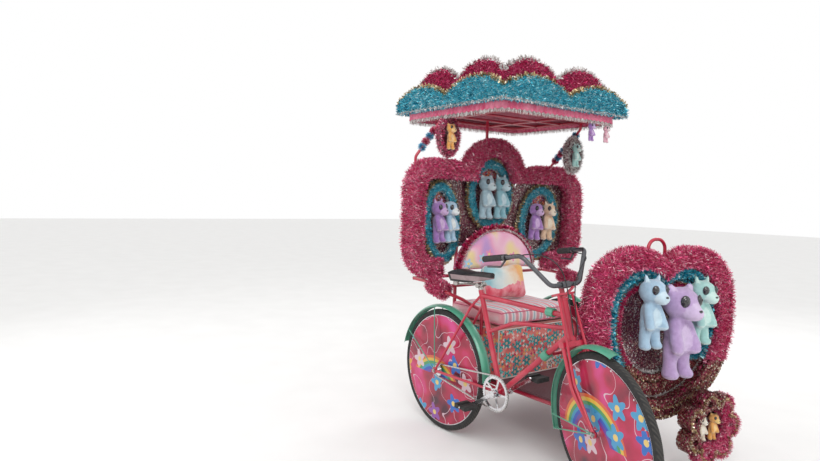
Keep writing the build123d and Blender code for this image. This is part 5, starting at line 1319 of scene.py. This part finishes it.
# The chain's links round both sprockets
def chain_links(pitch=12.7, big_teeth=46, small_teeth=18, crank=(482.0, 345.0), rear=(0.0, 355.0),
                chain_y=-43.0):
    """Outer and inner links and rollers, at their pitch along the loop round both sprockets."""
    big, small = pitch / (2 * math.sin(math.pi / big_teeth)), pitch / (2 * math.sin(math.pi / small_teeth))
    span = math.hypot(crank[0], crank[1] - rear[1])
    tilt = math.atan2(crank[1] - rear[1], crank[0])
    lean = math.asin((big - small) / span)
    line = []
    for i in range(61):
        a = tilt + (math.pi / 2 + lean) * (1 - i / 30)
        line.append((crank[0] + big * math.cos(a), crank[1] + big * math.sin(a)))
    for i in range(31):
        a = tilt - (math.pi / 2 + lean) - (math.pi - 2 * lean) * i / 30
        line.append((small * math.cos(a), rear[1] + small * math.sin(a)))
    ring = [at(x, chain_y, z) for x, z in line]
    length = sum((b - a).length for a, b in zip(ring, ring[1:] + ring[:1]))
    count = 2 * round(length / (2 * pitch / 1000))
    places, ways = along([ring], length / count + 1e-9, True)
    count = len(places)
    ahead = np.roll(places, -1, axis=0) - places
    middles = places + ahead / 2
    way = unit(ahead)
    side = np.tile((0.0, 1.0, 0.0), (count, 1))
    out = np.cross(way, side)
    plate = 0.001
    for kind, half_width in enumerate((0.0034, 0.0024)):
        shape = bmesh.new()
        for face in (-1, 1):
            for end in (-1, 1):
                spot = Matrix.Translation((end * pitch / 2000, 0, face * half_width))
                bmesh.ops.create_cone(shape, cap_ends=True, segments=10, radius1=0.0042, radius2=0.0042,
                                      depth=plate, matrix=spot)
            waist = Matrix.Diagonal((pitch / 1000, 0.0058, plate * 0.96, 1))
            spot = Matrix.Translation((0, 0, face * half_width))
            bmesh.ops.create_cube(shape, size=1.0, matrix=spot @ waist)
        chosen = np.arange(count) % 2 == kind
        strew(("outer", "inner")[kind] + "_chain_links", shape, middles[chosen], way[chosen], out[chosen],
              side[chosen], np.full(chosen.sum(), 0.5), STEEL, node="chain")
    shape = bmesh.new()
    bmesh.ops.create_cone(shape, cap_ends=True, segments=10, radius1=0.0031, radius2=0.0031, depth=0.0086)
    strew("chain_rollers", shape, places, way, out, side, np.full(count, 0.5), CHROME)


chain_links()


# Small screws round the printed covers
def cover_screws(name, joint, body, count=12, reach=0.3118, lift=0.0175):
    """A ring of screw heads on each side of a wheel."""
    centre, axle, across, over = wheel_axes(joint)
    places, outs = [], []
    for side in (-1, 1):
        for i in range(count):
            a = 2 * math.pi * (i + 0.5) / count
            places.append(centre + (across * math.cos(a) + over * math.sin(a)) * reach + axle * side * lift)
            outs.append(axle * side)
    places, outs = np.array([tuple(p) for p in places]), np.array([tuple(o) for o in outs])
    across = np.tile(tuple(across), (len(places), 1))
    shape = bmesh.new()
    bmesh.ops.create_uvsphere(shape, u_segments=10, v_segments=6, radius=0.0045,
                              matrix=Matrix.Diagonal((1, 1, 0.45, 1)))
    strew(name, shape, places, across, np.cross(outs, across), outs, np.full(len(places), 0.5), CHROME,
          body, smooth=True)


for wheel in ("rear", "side", "front"):
    cover_screws(wheel + "_cover_screws", JOINTS[wheel + "_spin"], wheel + "_wheel")

# Brake cables on the steered handlebar, from each lever's clamp down to the fork's crown
HEAD_ANGLE = math.radians(17.5)
PIVOT_X = 1158.0 - 106.0 / math.cos(HEAD_ANGLE)
HEAD_WAY = Vector((-math.sin(HEAD_ANGLE), 0, math.cos(HEAD_ANGLE)))
HEAD_FOOT = at(PIVOT_X - 361.0 * math.tan(HEAD_ANGLE), 0, 716)
PARKED = Matrix.Rotation(math.radians(-16.8), 4, HEAD_WAY)
STEERED = Matrix.Translation(HEAD_FOOT) @ PARKED @ Matrix.Translation(-HEAD_FOOT)
CABLE = 0.0056
CABLE_ROUTES = {
    "right": [(688, -199, 1086), (730, -192, 1096), (800, -172, 1122), (862, -128, 1128), (905, -70, 1100),
              (925, -30, 1040), (930, -14, 960), (936, -8, 880), (948, -6, 800), (958, -6, 745)],
    "left": [(688, 199, 1086), (732, 193, 1090), (800, 184, 1086), (852, 150, 1076), (890, 100, 1060),
             (906, 60, 1020), (912, 40, 970), (922, 30, 890), (942, 24, 800), (958, 18, 745)],
}


def smooth_line(points):
    """The points of the smooth curve that these control points pull."""
    curve = bpy.data.curves.new("route", "CURVE")
    curve.dimensions = "3D"
    curve.resolution_u = 12
    spline = curve.splines.new("NURBS")
    spline.points.add(len(points) - 1)
    for point, place in zip(spline.points, points):
        point.co = (*place, 1.0)
    spline.order_u = 3
    spline.use_endpoint_u = True
    return [tuple(vertex.co) for vertex in shaped(curve).vertices]


for side, route in CABLE_ROUTES.items():
    path = smooth_line([STEERED @ at(*point) for point in route])
    length = sum(math.dist(a, b) for a, b in zip(path, path[1:]))
    cable = new_piece(side + "_brake_cable", tube_mesh([path], CABLE / 2), [CABLE_RUBBER], "steer")

# Camera, light and floor
camera_data = bpy.data.cameras.new("camera")
camera_data.lens = 27.17
camera_data.sensor_width = 36.0
camera = link(bpy.data.objects.new("camera", camera_data))
right = Vector((0.59002, 0.80695, 0.02656))
up = Vector((-0.05804, 0.00958, 0.99827))
ahead = Vector((-0.8053, 0.59054, -0.05248))
camera_turn = Matrix((right, up, -ahead)).transposed().to_4x4()
camera.matrix_world = Matrix.Translation((2.30862, -2.8505, 1.36129)) @ camera_turn
SCENE.camera = camera


def lamp(name, place, aim, size, power):
    data = bpy.data.lights.new(name, "AREA")
    data.size = size
    data.energy = power
    light = link(bpy.data.objects.new(name, data))
    way = (Vector(aim) - Vector(place)).to_track_quat("-Z", "Y")
    light.matrix_world = Matrix.Translation(place) @ way.to_matrix().to_4x4()


lamp("key_lamp", (3.5, -3.5, 4.5), (0, 0, 0.9), 2.5, 110)
lamp("fill_lamp", (-3.5, -3.0, 3.0), (0, 0, 0.9), 3.0, 25)
lamp("back_lamp", (-1.5, 4.0, 4.0), (0, 0, 1.2), 2.5, 45)

world = bpy.data.worlds.new("studio")
SCENE.world = world
world.use_nodes = True
tree = world.node_tree
background = tree.nodes["Background"].inputs
rays = tree.nodes.new("ShaderNodeLightPath")
camera_ray, glossy_ray, clear_ray = (Value(tree, rays.outputs[f"Is {kind} Ray"])
                                     for kind in ("Camera", "Glossy", "Transmission"))
seen = camera_ray.work("MAXIMUM", glossy_ray).work("MAXIMUM", clear_ray)
background["Color"].default_value = (1.0, 1.0, 1.0, 1.0)
feed(tree, seen * 0.08 + 0.92, background["Strength"])

floor_paint = Paint("studio_floor", roughness=0.9)
floor_stops = [(0.3, (0.88, 0.875, 0.865)), (0.7, (0.91, 0.905, 0.895))]
floor_paint.colour(floor_paint.ramp(floor_paint.noise(3.0), floor_stops))
floor_shape = bmesh.new()
bmesh.ops.create_grid(floor_shape, x_segments=1, y_segments=1, size=30.0)
floor = link(bpy.data.objects.new("studio_floor", mesh_of(floor_shape)))
floor.data.materials.append(floor_paint.finish)
floor.location.z = -0.0005

SCENE.view_settings.view_transform = "Standard"
